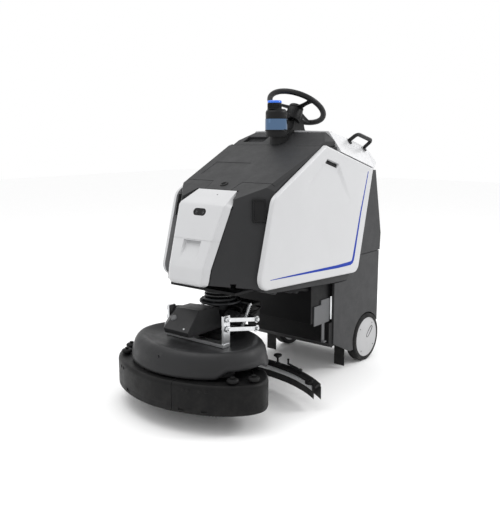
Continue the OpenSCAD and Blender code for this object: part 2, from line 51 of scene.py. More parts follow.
def smooth(me, angle=35):
    for p in me.polygons:
        p.use_smooth = True
    me.set_sharp_from_angle(angle=math.radians(angle))


def add(name, me, material, body, replaces=(), angle=35, wn=False):
    smooth(me, angle)
    me.materials.clear()
    me.materials.append(material)
    ob = bpy.data.objects.new(name, me)
    bpy.context.scene.collection.objects.link(ob)
    if wn:
        m = ob.modifiers.new("wn", "WEIGHTED_NORMAL")
        m.keep_sharp = True
    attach(ob, body)
    if replaces:
        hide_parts(*replaces)
    return ob


def mesh_of(name, verts, faces, mm=True):
    bm = bmesh.new()
    vs = [bm.verts.new(P(*v) if mm else v) for v in verts]
    for f in faces:
        try:
            bm.faces.new([vs[i] for i in f])
        except ValueError:
            pass
    return tidy(bm, name)


def tidy(bm, name, merge=1e-6):
    bmesh.ops.remove_doubles(bm, verts=bm.verts, dist=merge)
    bmesh.ops.recalc_face_normals(bm, faces=bm.faces)
    me = bpy.data.meshes.new(name)
    bm.to_mesh(me)
    bm.free()
    return me


def bevelled(bm, w, seg=3, ang=28):
    ed = [e for e in bm.edges if len(e.link_faces) == 2 and e.calc_face_angle(0) > math.radians(ang)]
    if ed:
        bmesh.ops.bevel(bm, geom=ed, offset=w / 1000, segments=seg, profile=0.5, affect="EDGES", clamp_overlap=True)


def recast(node, w, material, body, seg=3, ang=28, piece=None, cut=None):
    """A detailed copy of a CAD node with rounded edges, standing for it."""
    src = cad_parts[node]
    bm = bmesh.new()
    bm.from_mesh(src.data)
    bmesh.ops.remove_doubles(bm, verts=bm.verts, dist=2e-5)
    bmesh.ops.dissolve_limit(bm, angle_limit=math.radians(0.7), verts=bm.verts, edges=bm.edges)
    bevelled(bm, w, seg, ang)
    me = tidy(bm, piece or node + "_skin")
    if cut:
        me = carve(me, cut)
    return add(piece or node + "_skin", me, material, body, (node,), 32, True)


def carve(me, cutters, mode="DIFFERENCE"):
    """Cuts meshes out of a mesh with the exact solver, and returns the new mesh."""
    ob = bpy.data.objects.new("carve_tmp", me)
    bpy.context.scene.collection.objects.link(ob)
    tmp = []
    for c in cutters:
        co = bpy.data.objects.new("cutter_tmp", c)
        bpy.context.scene.collection.objects.link(co)
        tmp.append(co)
        m = ob.modifiers.new("b", "BOOLEAN")
        m.operation, m.solver, m.object = mode, "EXACT", co
    bpy.context.view_layer.update()
    out = bpy.data.meshes.new_from_object(ob.evaluated_get(bpy.context.evaluated_depsgraph_get()))
    for o in tmp + [ob]:
        bpy.data.objects.remove(o)
    return out


def box_me(a, b, w=0.0, m=None):
    bm = bmesh.new()
    bmesh.ops.create_cube(bm, size=1)
    lo, hi = P(*a), P(*b)
    for v in bm.verts:
        v.co = Vector([(lo[i] + hi[i]) / 2 + v.co[i] * (hi[i] - lo[i]) for i in range(3)])
    if w:
        bevelled(bm, w)
    if m:
        bm.transform(m)
    return tidy(bm, "box")


def join(name, *meshes):
    bm = bmesh.new()
    for me in meshes:
        bm.from_mesh(me)
    me = bpy.data.meshes.new(name)
    bm.to_mesh(me)
    bm.free()
    return me


def grid(rings, close_u=True, cap=True):
    """Faces over a list of rings with equal point counts."""
    k, m = len(rings[0]), len(rings)
    verts = [p for r in rings for p in r]
    faces = []
    for j in range(m - 1):
        for i in range(k if close_u else k - 1):
            a, b = j * k + i, j * k + (i + 1) % k
            faces.append((a, b, b + k, a + k))
    if cap:
        faces.append(tuple(range(k))[::-1])
        faces.append(tuple((m - 1) * k + i for i in range(k)))
    return verts, faces


def loft(name, rings, cap=True):
    return mesh_of(name, *grid(rings, True, cap))


def frame_of(axis):
    a = Vector(axis).normalized()
    u = a.cross(Vector((0, 0, 1)) if abs(a.z) < 0.9 else Vector((1, 0, 0))).normalized()
    return a, u, a.cross(u)


def revolve(name, centre, axis, prof, n=64):
    """Profile of (radius, height) pairs turned about axis through centre (mm). Open ends close on the axis."""
    a, u, v = frame_of(axis)
    c = Vector(centre)
    rings = []
    for r, h in prof:
        r = max(r, 0.01)
        rings.append([c + a * h + (u * math.cos(2 * math.pi * i / n) + v * math.sin(2 * math.pi * i / n)) * r for i in range(n)])
    ring_shaped = (Vector(prof[0]) - Vector(prof[-1])).length < 1e-6
    return loft(name, rings, not ring_shaped)


def rounded(prof, r=1.5, n=3):
    """Rounds the corners of a polyline of (radius, height) pairs."""
    out = [prof[0]]
    for i in range(1, len(prof) - 1):
        a, b, c = Vector(prof[i - 1]), Vector(prof[i]), Vector(prof[i + 1])
        d = min(r, (a - b).length * 0.45, (c - b).length * 0.45)
        if d < 0.02:
            out.append(prof[i])
            continue
        s, e = b + (a - b).normalized() * d, b + (c - b).normalized() * d
        for k in range(n + 1):
            t = k / n
            out.append(tuple(s * (1 - t) ** 2 + b * 2 * t * (1 - t) + e * t * t))
    out.append(prof[-1])
    return out


def tube(name, pts, r, n=12, square=0.0):
    """Round or squarish bar swept along points in mm, with capped ends."""
    pts = [Vector(p) for p in pts]
    rings = []
    t0 = (pts[1] - pts[0]).normalized()
    _, u, _ = frame_of(t0)
    for i, p in enumerate(pts):
        t = (pts[min(i + 1, len(pts) - 1)] - pts[max(i - 1, 0)]).normalized()
        u = (u - t * u.dot(t)).normalized()
        v = t.cross(u)
        ring = []
        for k in range(n):
            a = 2 * math.pi * k / n
            cx, cy = math.cos(a), math.sin(a)
            if square:
                e = 1 / square
                cx, cy = math.copysign(abs(cx) ** e, cx), math.copysign(abs(cy) ** e, cy)
            ring.append(p + (u * cx + v * cy) * r)
        rings.append(ring)
    return loft(name, rings)


def bend(pts, r, n=6):
    """Polyline with its corners rounded, radius about r."""
    pts = [Vector(p) for p in pts]
    out = [pts[0]]
    for a, b, c in zip(pts, pts[1:], pts[2:]):
        d = min(r, (a - b).length * 0.45, (c - b).length * 0.45)
        s, e = b + (a - b).normalized() * d, b + (c - b).normalized() * d
        out += [s * (1 - k / n) ** 2 + b * 2 * (k / n) * (1 - k / n) + e * (k / n) ** 2 for k in range(n + 1)]
    return out + [pts[-1]]


def bolt(c, axis, r=5.0, h=3.0):
    """Hexagon-socket button head."""
    a, u, v = frame_of(axis)
    c = Vector(c)
    prof = rounded([(0.01, 0), (r, 0), (r, h * 0.45), (r * 0.62, h), (r * 0.5, h), (r * 0.5, h * 0.4), (0.01, h * 0.4)], 0.5, 2)
    return revolve("bolt", c, axis, prof, 18)


def mir(me):
    bm = bmesh.new()
    bm.from_mesh(me)
    bmesh.ops.scale(bm, vec=(-1, 1, 1), verts=bm.verts)
    bmesh.ops.reverse_faces(bm, faces=bm.faces)
    out = bpy.data.meshes.new(me.name + "_m")
    bm.to_mesh(out)
    bm.free()
    return out


# ---------------------------------------------------------------- materials
def mat(name, base, rough=0.5, metal=0.0, grain=(900, 0.12), vary=0.12, rvary=0.08, fine=0.0, dust=0.0,
        wear=0.0, brushed=None, scratches=0.0, coat=0.0, spec=0.5, emit=None):
    m = bpy.data.materials.new(name)
    m.use_nodes = True
    nt = m.node_tree
    N, L = nt.nodes, nt.links
    bs = N["Principled BSDF"]
    bs.inputs["Metallic"].default_value = metal
    bs.inputs["Specular IOR Level"].default_value = spec
    bs.inputs["Coat Weight"].default_value = coat
    bs.inputs["Coat Roughness"].default_value = 0.15
    tc = N.new("ShaderNodeTexCoord")

    def noise(scale, detail=3.0, rough_=0.55, stretch=None):
        n = N.new("ShaderNodeTexNoise")
        n.inputs["Scale"].default_value = scale
        n.inputs["Detail"].default_value = detail
        n.inputs["Roughness"].default_value = rough_
        if stretch:
            mp = N.new("ShaderNodeMapping")
            mp.inputs["Scale"].default_value = stretch
            L.new(tc.outputs["Object"], mp.inputs["Vector"])
            L.new(mp.outputs["Vector"], n.inputs["Vector"])
        else:
            L.new(tc.outputs["Object"], n.inputs["Vector"])
        return n.outputs["Fac"]

    def mrange(src, a, b, c, d):
        n = N.new("ShaderNodeMapRange")
        for i, val in zip(("From Min", "From Max", "To Min", "To Max"), (a, b, c, d)):
            n.inputs[i].default_value = val
        L.new(src, n.inputs["Value"])
        return n.outputs["Result"]

    def mix(fac, a, b):
        n = N.new("ShaderNodeMix")
        n.data_type = "RGBA"
        if isinstance(fac, float):
            n.inputs[0].default_value = fac
        else:
            L.new(fac, n.inputs[0])
        for s, val in ((6, a), (7, b)):
            if isinstance(val, (tuple, list)):
                n.inputs[s].default_value = (*val[:3], 1)
            else:
                L.new(val, n.inputs[s])
        return n.outputs[2]

    def math_(op, a, b):
        n = N.new("ShaderNodeMath")
        n.operation = op
        for s, val in ((0, a), (1, b)):
            if isinstance(val, (int, float)):
                n.inputs[s].default_value = val
            else:
                L.new(val, n.inputs[s])
        return n.outputs[0]

    dark = tuple(c * (1 - vary) for c in base)
    light = tuple(min(c * (1 + vary) + 0.002, 1) for c in base)
    col = mix(mrange(noise(5.0, 5, 0.6), 0.3, 0.7, 0, 1), dark, light)
    if fine:
        f = mrange(noise(420, 2, 0.5), 0.52, 0.72, 0, fine)
        col = mix(f, col, tuple(min(c * 1.6 + 0.02, 1) for c in base))
    if wear:
        g = N.new("ShaderNodeNewGeometry")
        w = mrange(g.outputs["Pointiness"], 0.52, 0.6, 0, 1)
        w = math_("MULTIPLY", w, mrange(noise(60, 5, 0.7), 0.35, 0.65, 0, wear))
        col = mix(w, col, tuple(min(c * 1.9 + 0.05, 1) for c in base))
    if dust:
        sp = N.new("ShaderNodeSeparateXYZ")
        L.new(tc.outputs["Object"], sp.inputs[0])
        d = mrange(sp.outputs["Z"], 0.32, 0.06, 0, 1)
        d = math_("MULTIPLY", d, mrange(noise(22, 6, 0.7), 0.42, 0.72, 0, dust))
        col = mix(d, col, (0.16, 0.15, 0.135))
    L.new(col, bs.inputs["Base Color"])
    r = mrange(noise(16, 6, 0.65), 0.3, 0.7, max(rough - rvary, 0.03), min(rough + rvary, 1))
    if scratches:
        s = mrange(noise(30, 3, 0.6, (1, 14, 5)), 0.66, 0.7, 0, scratches)
        r = math_("ADD", r, s)
    L.new(r, bs.inputs["Roughness"])
    gs, gk = grain
    h = noise(gs, 2.5, 0.6)
    if brushed:
        h = noise(160, 3, 0.7, brushed)
    bp = N.new("ShaderNodeBump")
    bp.inputs["Strength"].default_value = gk
    bp.inputs["Distance"].default_value = 0.0006
    L.new(h, bp.inputs["Height"])
    L.new(bp.outputs["Normal"], bs.inputs["Normal"])
    if emit:
        bs.inputs["Emission Color"].default_value = (*emit[:3], 1)
        bs.inputs["Emission Strength"].default_value = emit[3]
    return m


M = {
    "shell": mat("shell_plastic", (0.0225, 0.0228, 0.024), 0.52, grain=(1500, 0.2), vary=0.06, fine=0.12, rvary=0.07, spec=0.22),
    "housing": mat("housing_plastic", (0.034, 0.0343, 0.0358), 0.54, grain=(1300, 0.22), vary=0.07, fine=0.12, rvary=0.08, dust=0.06, wear=0.2, spec=0.22),
    "white": mat("white_paint", (0.5, 0.503, 0.512), 0.36, grain=(260, 0.035), vary=0.018, rvary=0.06, spec=0.4, coat=0.15, scratches=0.05),
    "deck": mat("deck_plastic", (0.015, 0.0152, 0.0162), 0.46, grain=(1300, 0.22), vary=0.1, fine=0.15, rvary=0.09, dust=0.04, wear=0.25, scratches=0.1, spec=0.25),
    "skirt": mat("skirt_rubber", (0.0035, 0.0035, 0.0038), 0.46, grain=(700, 0.16), vary=0.15, fine=0.08, rvary=0.1, dust=0.07, wear=0.3, scratches=0.12, spec=0.14),
    "black": mat("black_plastic", (0.005, 0.005, 0.0055), 0.4, grain=(1300, 0.2), vary=0.12, fine=0.06, rvary=0.08, spec=0.2),
    "grip": mat("grip_rubber", (0.004, 0.004, 0.0045), 0.42, grain=(1700, 0.4), vary=0.12, rvary=0.1, fine=0.1, spec=0.25),
    "frame": mat("powder_coat", (0.004, 0.004, 0.0045), 0.46, grain=(800, 0.3), vary=0.12, rvary=0.1, dust=0.05, scratches=0.08, spec=0.14),
    "rubber": mat("rubber", (0.004, 0.004, 0.0045), 0.55, grain=(500, 0.2), vary=0.15, rvary=0.1, dust=0.1, fine=0.06, spec=0.18),
    "tyre": mat("tyre_rubber", (0.005, 0.005, 0.0055), 0.66, grain=(450, 0.35), vary=0.2, rvary=0.12, dust=0.22, fine=0.12, spec=0.18),
    "boot": mat("boot_rubber", (0.005, 0.005, 0.0055), 0.3, grain=(600, 0.1), vary=0.1, rvary=0.08, spec=0.45),
    "steel": mat("brushed_steel", (0.56, 0.57, 0.58), 0.3, 1.0, grain=(300, 0.12), vary=0.08, rvary=0.1, brushed=(1, 1, 30), scratches=0.15),
    "chrome": mat("chrome_rod", (0.72, 0.73, 0.74), 0.13, 1.0, grain=(300, 0.03), vary=0.04, rvary=0.05),
    "alu": mat("machined_aluminium", (0.66, 0.67, 0.68), 0.34, 1.0, grain=(300, 0.12), vary=0.08, rvary=0.1, brushed=(18, 1, 1), scratches=0.12),
    "darksteel": mat("blackened_steel", (0.03, 0.031, 0.033), 0.4, 0.7, grain=(500, 0.2), vary=0.2, rvary=0.12, wear=0.3, spec=0.3),
    "grey": mat("grey_panel", (0.1, 0.102, 0.106), 0.46, grain=(1200, 0.2), vary=0.06, rvary=0.08, fine=0.1, spec=0.3),
    "tank": mat("rotomoulded_tank", (0.5, 0.53, 0.55), 0.5, grain=(90, 0.15), vary=0.06, rvary=0.08),
    "battery": mat("battery_case", (0.03, 0.035, 0.04), 0.5, grain=(900, 0.2), vary=0.1),
    "motor": mat("cast_motor", (0.02, 0.0205, 0.022), 0.5, 0.1, grain=(420, 0.35), vary=0.15, rvary=0.1, dust=0.2, spec=0.25),
    "blue": mat("blue_film", (0.003, 0.03, 0.3), 0.45, grain=(400, 0.02), vary=0.04, rvary=0.04, spec=0.15),
    "bluecap": mat("blue_lens", (0.01, 0.12, 0.62), 0.22, grain=(500, 0.04), vary=0.08, rvary=0.05, coat=0.4, emit=(0.02, 0.2, 0.9, 0.06)),
    "red": mat("red_button", (0.5, 0.012, 0.012), 0.32, grain=(900, 0.05), vary=0.05, rvary=0.06),
    "yellow": mat("yellow_ring", (0.72, 0.45, 0.02), 0.42, grain=(900, 0.08), vary=0.05, rvary=0.06),
    "lidar": mat("lidar_glass", (0.09, 0.15, 0.25), 0.06, 1.0, grain=(200, 0.005), vary=0.03, rvary=0.02),
    "lens": mat("dark_glass", (0.006, 0.007, 0.009), 0.06, grain=(200, 0.004), vary=0.1, rvary=0.02, coat=0.8, spec=0.7),
    "bristle": mat("nylon_bristle", (0.02, 0.021, 0.024), 0.55, grain=(900, 0.3), vary=0.3, rvary=0.15),
    "screen": mat("display_glass", (0.008, 0.009, 0.012), 0.08, grain=(300, 0.004), vary=0.1, rvary=0.03, coat=0.7, spec=0.6),
    "hub": mat("hub_paint", (0.4, 0.4, 0.407), 0.42, grain=(500, 0.06), vary=0.03, rvary=0.08, dust=0.12),
}

# ---------------------------------------------------------------- plain CAD nodes inside the body
for n, k in {"battery_pack": "battery", "solution_tank": "tank", "recovery_tank": "tank", "vacuum_motor": "motor",
             "rear_axle": "steel"}.items():
    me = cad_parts[n].data
    for i in range(len(me.materials)):
        me.materials[i] = M[k]
    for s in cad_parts[n].material_slots:
        s.material = M[k]

# ---------------------------------------------------------------- recast prismatic nodes
recast("chassis_frame", 2, M["frame"], "body", 2)
recast("front_bulkhead_box", 5, M["frame"], "body")
recast("body_shell", 2.6, M["shell"], "body")
recast("side_sensors", 3, M["black"], "body")
recast("top_lid", 4, M["shell"], "body")
recast("rear_cap", 5, M["white"], "body", 4, 12)
recast("rear_upper_housing", 9, M["housing"], "body", 4)
recast("rear_lower_housing", 5, M["housing"], "body", 3)
recast("rubber_flaps", 0.8, M["rubber"], "body", 2)
recast("access_panel", 0.8, M["grey"], "body", 2)
recast("tower_bracket", 2.5, M["black"], "body", 3)
recast("display_screen", 1.5, M["black"], "body", 3)
recast("hood", 2.2, M["shell"], "hood", 3)
recast("camera_window", 1.2, M["black"], "cover", 2)
recast("head_fork", 2, M["frame"], "head", 2)
recast("lift_arms_upper", 1.2, M["alu"], "lift_upper", 2)
recast("lift_arms_lower", 1.2, M["alu"], "lift_lower", 2)
recast("deck_saddle", 1.5, M["alu"], "deck", 2)
recast("deck_plate", 1.5, M["frame"], "deck", 2)
recast("squeegee_arm", 1.5, M["darksteel"], "squeegee_arm", 2, 40)


# ---------------------------------------------------------------- side doors
def rcorner(a, b, c, r, n=8):
    a, b, c = Vector(a), Vector(b), Vector(c)
    u, v = (a - b).normalized(), (c - b).normalized()
    g = u.angle(v)
    d = r / math.tan(g / 2)
    m = b + (u + v).normalized() * r / math.sin(g / 2)
    s, e = b + u * d, b + v * d
    p, q = math.atan2(s.y - m.y, s.x - m.x), math.atan2(e.y - m.y, e.x - m.x)
    w = (q - p + 3 * math.pi) % (2 * math.pi) - math.pi
    return [m + Vector((math.cos(p + w * i / n), math.sin(p + w * i / n))) * r for i in range(n + 1)]


def rpoly(p, r, n=8):
    k = len(p)
    return [q for i in range(k) for q in rcorner(p[i - 1], p[i], p[(i + 1) % k], r[i], n)]


def inset(p, d):
    out, k = [], len(p)
    for i in range(k):
        a, b, c = p[i - 1], p[i], p[(i + 1) % k]
        e, f = (b - a).normalized(), (c - b).normalized()
        m, n = Vector((-e.y, e.x)), Vector((-f.y, f.x))
        out.append(b + (m + n) * d / (1 + m.dot(n)))
    return out


DOOR = [(301.5, 493.7), (428, 995.5), (-0.5, 1113.5), (-387.5, 904.2), (-490.7, 531.6)]
outl = rpoly(DOOR, [46, 12, 14, 60, 52], 10)
dense = []
for i in range(len(outl)):
    a, b = outl[i], outl[(i + 1) % len(outl)]
    k = max(1, int((b - a).length / 18))
    dense += [a + (b - a) * j / k for j in range(k)]


def seg_d(p, a, b):
    ab, ap = b - a, p - a
    t = max(0, min(1, ap.dot(ab) / ab.length_squared))
    return (ap - ab * t).length, t


SL, SR = Vector((4, 1052)), Vector((108, 1022))
EL, ER = Vector((-113, 972)), Vector((218, 857))


def side(p, a, b):
    return (b - a).x * (p - a).y - (b - a).y * (p - a).x


def door_depth(p):
    """Depth of the shallow roof-shaped recess under the finger slot (mm)."""
    if side(p, SL, EL) < 0 or side(p, SR, ER) > 0 or side(p, SL, SR) > 0:
        return 0.0
    dl, tl = seg_d(p, SL, EL)
    dr, tr = seg_d(p, SR, ER)
    down = (SL.y + SR.y) / 2 - p.y
    f = max(0.0, 1 - down / 185)
    e = min(1.0, dl / 8) * min(1.0, dr / 17)
    return 14.0 * f ** 0.9 * e


def door(sgn):
    x0, x1, rr = 266.0, 285.0, 9.0
    rings = [[(x0, q.x, q.y) for q in dense]]
    for k in range(7):
        t = k / 6 * math.pi / 2
        ins = inset(dense, rr * (1 - math.cos(t)))
        rings.append([(x1 - rr + rr * math.sin(t), q.x, q.y) for q in ins])
    verts, faces = grid(rings, True, False)
    edge = inset(dense, rr)
    k = len(edge)
    slot = [Vector(v) for v in ((5, 1055), (105, 1027.5), (98, 1008), (9, 1033))]
    slot_i = [Vector(v) for v in ((8, 1051.5), (101, 1026), (95.5, 1011.5), (11.5, 1035.5))]
    pts = [q.copy() for q in edge] + slot + slot_i
    edges = [(i, (i + 1) % k) for i in range(k)]
    for o in (k, k + 4):
        edges += [(o + i, o + (i + 1) % 4) for i in range(4)]
    fine = []
    y = -500.0
    while y < 440:
        z = 480.0
        while z < 1120:
            p = Vector((y, z))
            near = (EL.x - 6 < y < ER.x + 6) and z > 850
            if near or (int((y + 500) / 8) % 4 == 0 and int((z - 480) / 8) % 4 == 0):
                fine.append(p)
            z += 8
        y += 8
    # ridge lines of the recess
    for a, b in ((SL, EL), (SR, ER)):
        n = 24
        for o in (0, -8 if a is SL else -17, 8 if a is SL else 17):
            d = (b - a).normalized()
            nn = Vector((-d.y, d.x)) * o
            for j in range(1, n):
                fine.append(a + (b - a) * j / n + nn)
    inner = inset(dense, rr + 5)

    def inside(p, poly):
        c = False
        for i in range(len(poly)):
            a, b = poly[i - 1], poly[i]
            if (a.y > p.y) != (b.y > p.y) and p.x < (b.x - a.x) * (p.y - a.y) / (b.y - a.y) + a.x:
                c = not c
        return c

    so = inset([s for s in slot[::-1]], -3)
    fine = [p for p in fine if inside(p, inner) and not inside(p, so)]
    pts += fine
    out = delaunay_2d_cdt(pts, edges, [list(range(k))], 1, 0.01)
    ov, of = out[0], out[2]
    base = len(verts)
    for q in ov:
        if inside(q, slot_i[::-1]) or min((q - s).length for s in slot_i) < 0.4:
            d = 14.0
        elif min((q - s).length for s in slot) < 0.4:
            d = door_depth(q + Vector((0, -2)))
        else:
            d = door_depth(q)
        verts.append((x1 - d, q.x, q.y))
    faces += [tuple(base + i for i in f) for f in of]
    faces.append(tuple(range(len(dense))))
    bm = bmesh.new()
    vs = [bm.verts.new(P(*v)) for v in verts]
    for f in faces:
        try:
            bm.faces.new([vs[i] for i in f])
        except ValueError:
            pass
    bmesh.ops.remove_doubles(bm, verts=bm.verts, dist=2e-5)
    bmesh.ops.recalc_face_normals(bm, faces=bm.faces)
    me = bpy.data.meshes.new("door")
    bm.to_mesh(me)
    bm.free()
    return me if sgn > 0 else mir(me)


def stripe():
    c = [(374, 982, 4.5), (343, 885, 6.5), (311, 788, 8.5), (281, 676, 11), (256, 584, 13.5), (250, 566, 14), (242, 554, 14), (228, 549.5, 14),
         (205, 549, 13.5), (105, 550, 11.5), (0, 554.5, 9.5), (-140, 560, 7), (-280, 565.5, 5), (-412, 570, 1.6)]
    top, bot = [], []
    for i, (y, z, w) in enumerate(c):
        a, b = Vector(c[max(i - 1, 0)][:2]), Vector(c[min(i + 1, len(c) - 1)][:2])
        t = (b - a).normalized()
        n = Vector((-t.y, t.x))
        p = Vector((y, z))
        w *= 1.3
        top.append(p + n * w / 2)
        bot.append(p - n * w / 2)
    rings = []
    for i in range(len(c)):
        rings.append([(284.9, *top[i]), (285.35, *top[i]), (285.35, *bot[i]), (284.9, *bot[i])])
    return loft("stripe", rings)


st = stripe()
add("door_left_skin", door(1), M["white"], "door_left", ("side_door_left",), 40)
add("door_right_skin", door(-1), M["white"], "door_right", ("side_door_right",), 40)
add("door_left_band", st, M["blue"], "door_left")
add("door_right_band", mir(st), M["blue"], "door_right")
# black plate laid on the finger slot's floor: painted shade, it darkens the slot as its shadow would
slot_shade_plate = loft("slot_shade_plate", [[(x, y, z) for y, z in ((6.2, 1053.6), (103, 1026.8), (96.8, 1009.4), (10, 1034.2))] for x in (271.4, 272.4)])
add("door_left_slot_shade", slot_shade_plate, M["rubber"], "door_left")
add("door_right_slot_shade", mir(slot_shade_plate), M["rubber"], "door_right")

# ---------------------------------------------------------------- front cover
LV = [(546, -606, 78, 70, -596), (548, -614, 84, 84, -598), (552, -620, 88, 98, -600), (560, -623, 91, 112, -603.5), (575, -621.2, 92, 116, -602), (600, -618, 94, 117, -597),
      (616, -616, 95, 118, -593.3), (622, -614.6, 95.4, 118.2, -592), (628, -612.4, 96, 118.8, -590)]
for i in range(1, 16):
    t = i / 16
    z = 628 + (868 - 628) * t
    f = (z - 622) / (877 - 622)
    LV.append((z, -615 + 100.5 * f, 95 + 32 * f, 118 + 29 * (z - 622) / 244, -592 + 95 * (z - 622) / 244))
LV += [(868, -518, 126, 147, -496), (874, -514.8, 126.8, 146.5, -492), (879, -510.5, 126.8, 145, -487)]
for i in range(1, 7):
    t = i / 6
    LV.append((879 + 50 * t, -510.5 + 94.5 * t, 126.8 - 19 * t, 145 - 34 * t, -487 + 79 * t - (6 if t == 1 else 0)))
LV.append((927, -411, 106, 109, -407))


def cover():
    nf, nr = 40, 6
    rings = []
    for z, y, hw, bw, by in LV:
        zb = z - 3 if z < 860 else z - (z - 860) * 0.25
        r = 9.0
        right = []
        for k in range(nr + 1):
            t = k / nr * math.pi / 2
            # rounded shoulder between the front face and the slanted side
            right.append((hw - r + r * math.sin(t), y + r * 0.55 * (1 - math.cos(t)), z))
        sidep = [(hw + (bw - hw) * s, y + r * 0.55 + (by - y - r * 0.55) * s, z + (zb - z) * s) for s in (0.35, 0.7, 1.0)]
        row = []
        for i in range(nf + 1):
            u = -1 + 2 * i / nf
            x = u * (hw - r)
            d = 0.0
            # hand pocket: sharp top edge, floor rising to the face lower down
            if z < 731.5 and z > 650:
                e = max(0.0, min(1.0, (48 - abs(x)) / 5.0))
                d = 23.0 * ((z - 650) / 81) * e
            # latch bump on the top slope
            if 903 < z < 924:
                e = max(0.0, min(1.0, (66 - abs(x)) / 8)) * min(1, (z - 903) / 4) * min(1, (924 - z) / 4)
                d -= 3.0 * e
            row.append((x, y + d, z + (0 if z < 731 else 0)))
        L_ = [(-a, b, c) for a, b, c in right[::-1]]
        LS = [(-a, b, c) for a, b, c in sidep[::-1]]
        rings.append(LS + L_[:-1] + row + right[1:] + sidep)
    verts, faces = grid(rings, False, False)
    bm = bmesh.new()
    vs = [bm.verts.new(P(*v)) for v in verts]
    for f in faces:
        bm.faces.new([vs[i] for i in f])
    bmesh.ops.remove_doubles(bm, verts=bm.verts, dist=1e-6)
    bmesh.ops.recalc_face_normals(bm, faces=bm.faces)
    return bm


# finer levels around the pocket's upper lip
ex = []
for a, b in zip(LV, LV[1:]):
    ex.append(a)
    if a[0] < 731.4 < b[0]:
        for z in (728.5, 731.3, 731.7, 734.0):
            t = (z - a[0]) / (b[0] - a[0])
            ex.append(tuple(p + (q - p) * t for p, q in zip(a, b)))
    elif 640 < a[0] < 900 and b[0] - a[0] > 8:
        ex.append(tuple((p + q) / 2 for p, q in zip(a, b)))
ex.append(LV[-1])
LV = ex
bm = cover()
me = bpy.data.meshes.new("cover")
bm.to_mesh(me)
bm.free()
# give the skin a wall
ob = bpy.data.objects.new("cover_tmp", me)
bpy.context.scene.collection.objects.link(ob)
m = ob.modifiers.new("s", "SOLIDIFY")
m.thickness, m.offset = 0.004, -1
bpy.context.view_layer.update()
cm = bpy.data.meshes.new_from_object(ob.evaluated_get(bpy.context.evaluated_depsgraph_get()))
bpy.data.objects.remove(ob)
# camera window cut-out
ca = math.atan2(877 - 622, -514.5 + 615)
wc = Vector((0, -527.5, 844))
nrm = Vector((0, -math.sin(ca), math.cos(ca)))
upv = Vector((0, math.cos(ca), math.sin(ca)))


def pill(half, r, h0, h1, n=14, name="pill"):
    ring = []
    for s in (1, -1):
        for k in range(n + 1):
            t = -math.pi / 2 + math.pi * k / n
            ring.append((s * (half + r * math.cos(t)), s * r * math.sin(t)))
    rings = []
    for h in (h0, h1):
        rings.append([wc + Vector((x, 0, 0)) + upv * y + nrm * h for x, y in ring])
    return loft(name, rings)


cm = carve(cm, [pill(19.6, 16.1, -30, 30)])
add("front_cover_skin", cm, M["white"], "cover", ("front_cover",), 38)
lens = [revolve("cam", wc + Vector((x, 0, 0)) + nrm * -6, nrm, rounded([(0.01, 0), (8.5, 0), (8.5, 3), (6.4, 3), (5.6, 1.6), (0.01, 2.4)], 0.6, 2), 32) for x in (-18, 18)]
add("camera_lenses", join("cam", *lens), M["lens"], "cover")
add("latch_screw", bolt((33, -450.5, 911.5), (0, -0.42, 0.91), 3.2, 1.6), M["darksteel"], "cover")

# ---------------------------------------------------------------- hood lock
ha = math.atan(0.456)
hn = Vector((0, -math.sin(ha), math.cos(ha)))
hu = Vector((0, math.cos(ha), math.sin(ha)))


def on_hood(x, y, z):
    return Vector((x, -322, 971.6)) + hu * y + hn * z


lock = revolve("lock", on_hood(0, -52, 0.4), hn, rounded([(0.01, -17), (11.8, -17), (11.8, 0), (19, 0), (19, 2.2), (16.4, 4), (12.5, 4), (11, 1.2), (0.01, 0.8)], 0.8, 3), 48)
bar = tube("lockbar", [on_hood(-10, -52, 2.4), on_hood(10, -52, 2.4)], 2.6, 16, 1.6)
tab = box_me((-6, -6, -25), (6, 30, -17), 1.0)
bm = bmesh.new()
bm.from_mesh(tab)
bm.transform(Matrix.Translation(P(0, -322, 971.6)) @ Matrix.Rotation(ha, 4, "X") @ Matrix.Translation(Vector((0, -0.052, 0))) @ Matrix.Translation(Vector((0, -YS / 1000, 0))))
bm.to_mesh(tab)
bm.free()
add("hood_lock_skin", join("lock", lock, bar, tab), M["black"], "hood_lock", ("hood_lock",), 40)

# ---------------------------------------------------------------- rear wheels


def tyre(x0, x1, R, rim, y, z, name, lugs=60, depth=2.0):
    a = 1 if x1 > x0 else -1
    w = abs(x1 - x0)
    prof = rounded([(rim, 0), (R - 9, 0), (R - 2.5, 3.5), (R, 9), (R, w - 9), (R - 2.5, w - 3.5), (R - 9, w), (rim, w)], 3, 3)
    # three circumferential grooves
    out = []
    for r, h in prof:
        out.append((r, h))
    mid = [(R, 9)]
    for c in (w * 0.3, w * 0.5, w * 0.7):
        mid += [(R, c - 1.8), (R - depth, c - 1.2), (R - depth, c + 1.2), (R, c + 1.8)]
    mid.append((R, w - 9))
    prof = rounded([(rim, 0), (R - 9, 0), (R - 2.5, 3.5)], 2, 3) + mid + rounded([(R - 2.5, w - 3.5), (R - 9, w), (rim, w)], 2, 3)
    return revolve(name, (x0, y, z), (a, 0, 0), prof + [prof[0]], 120)


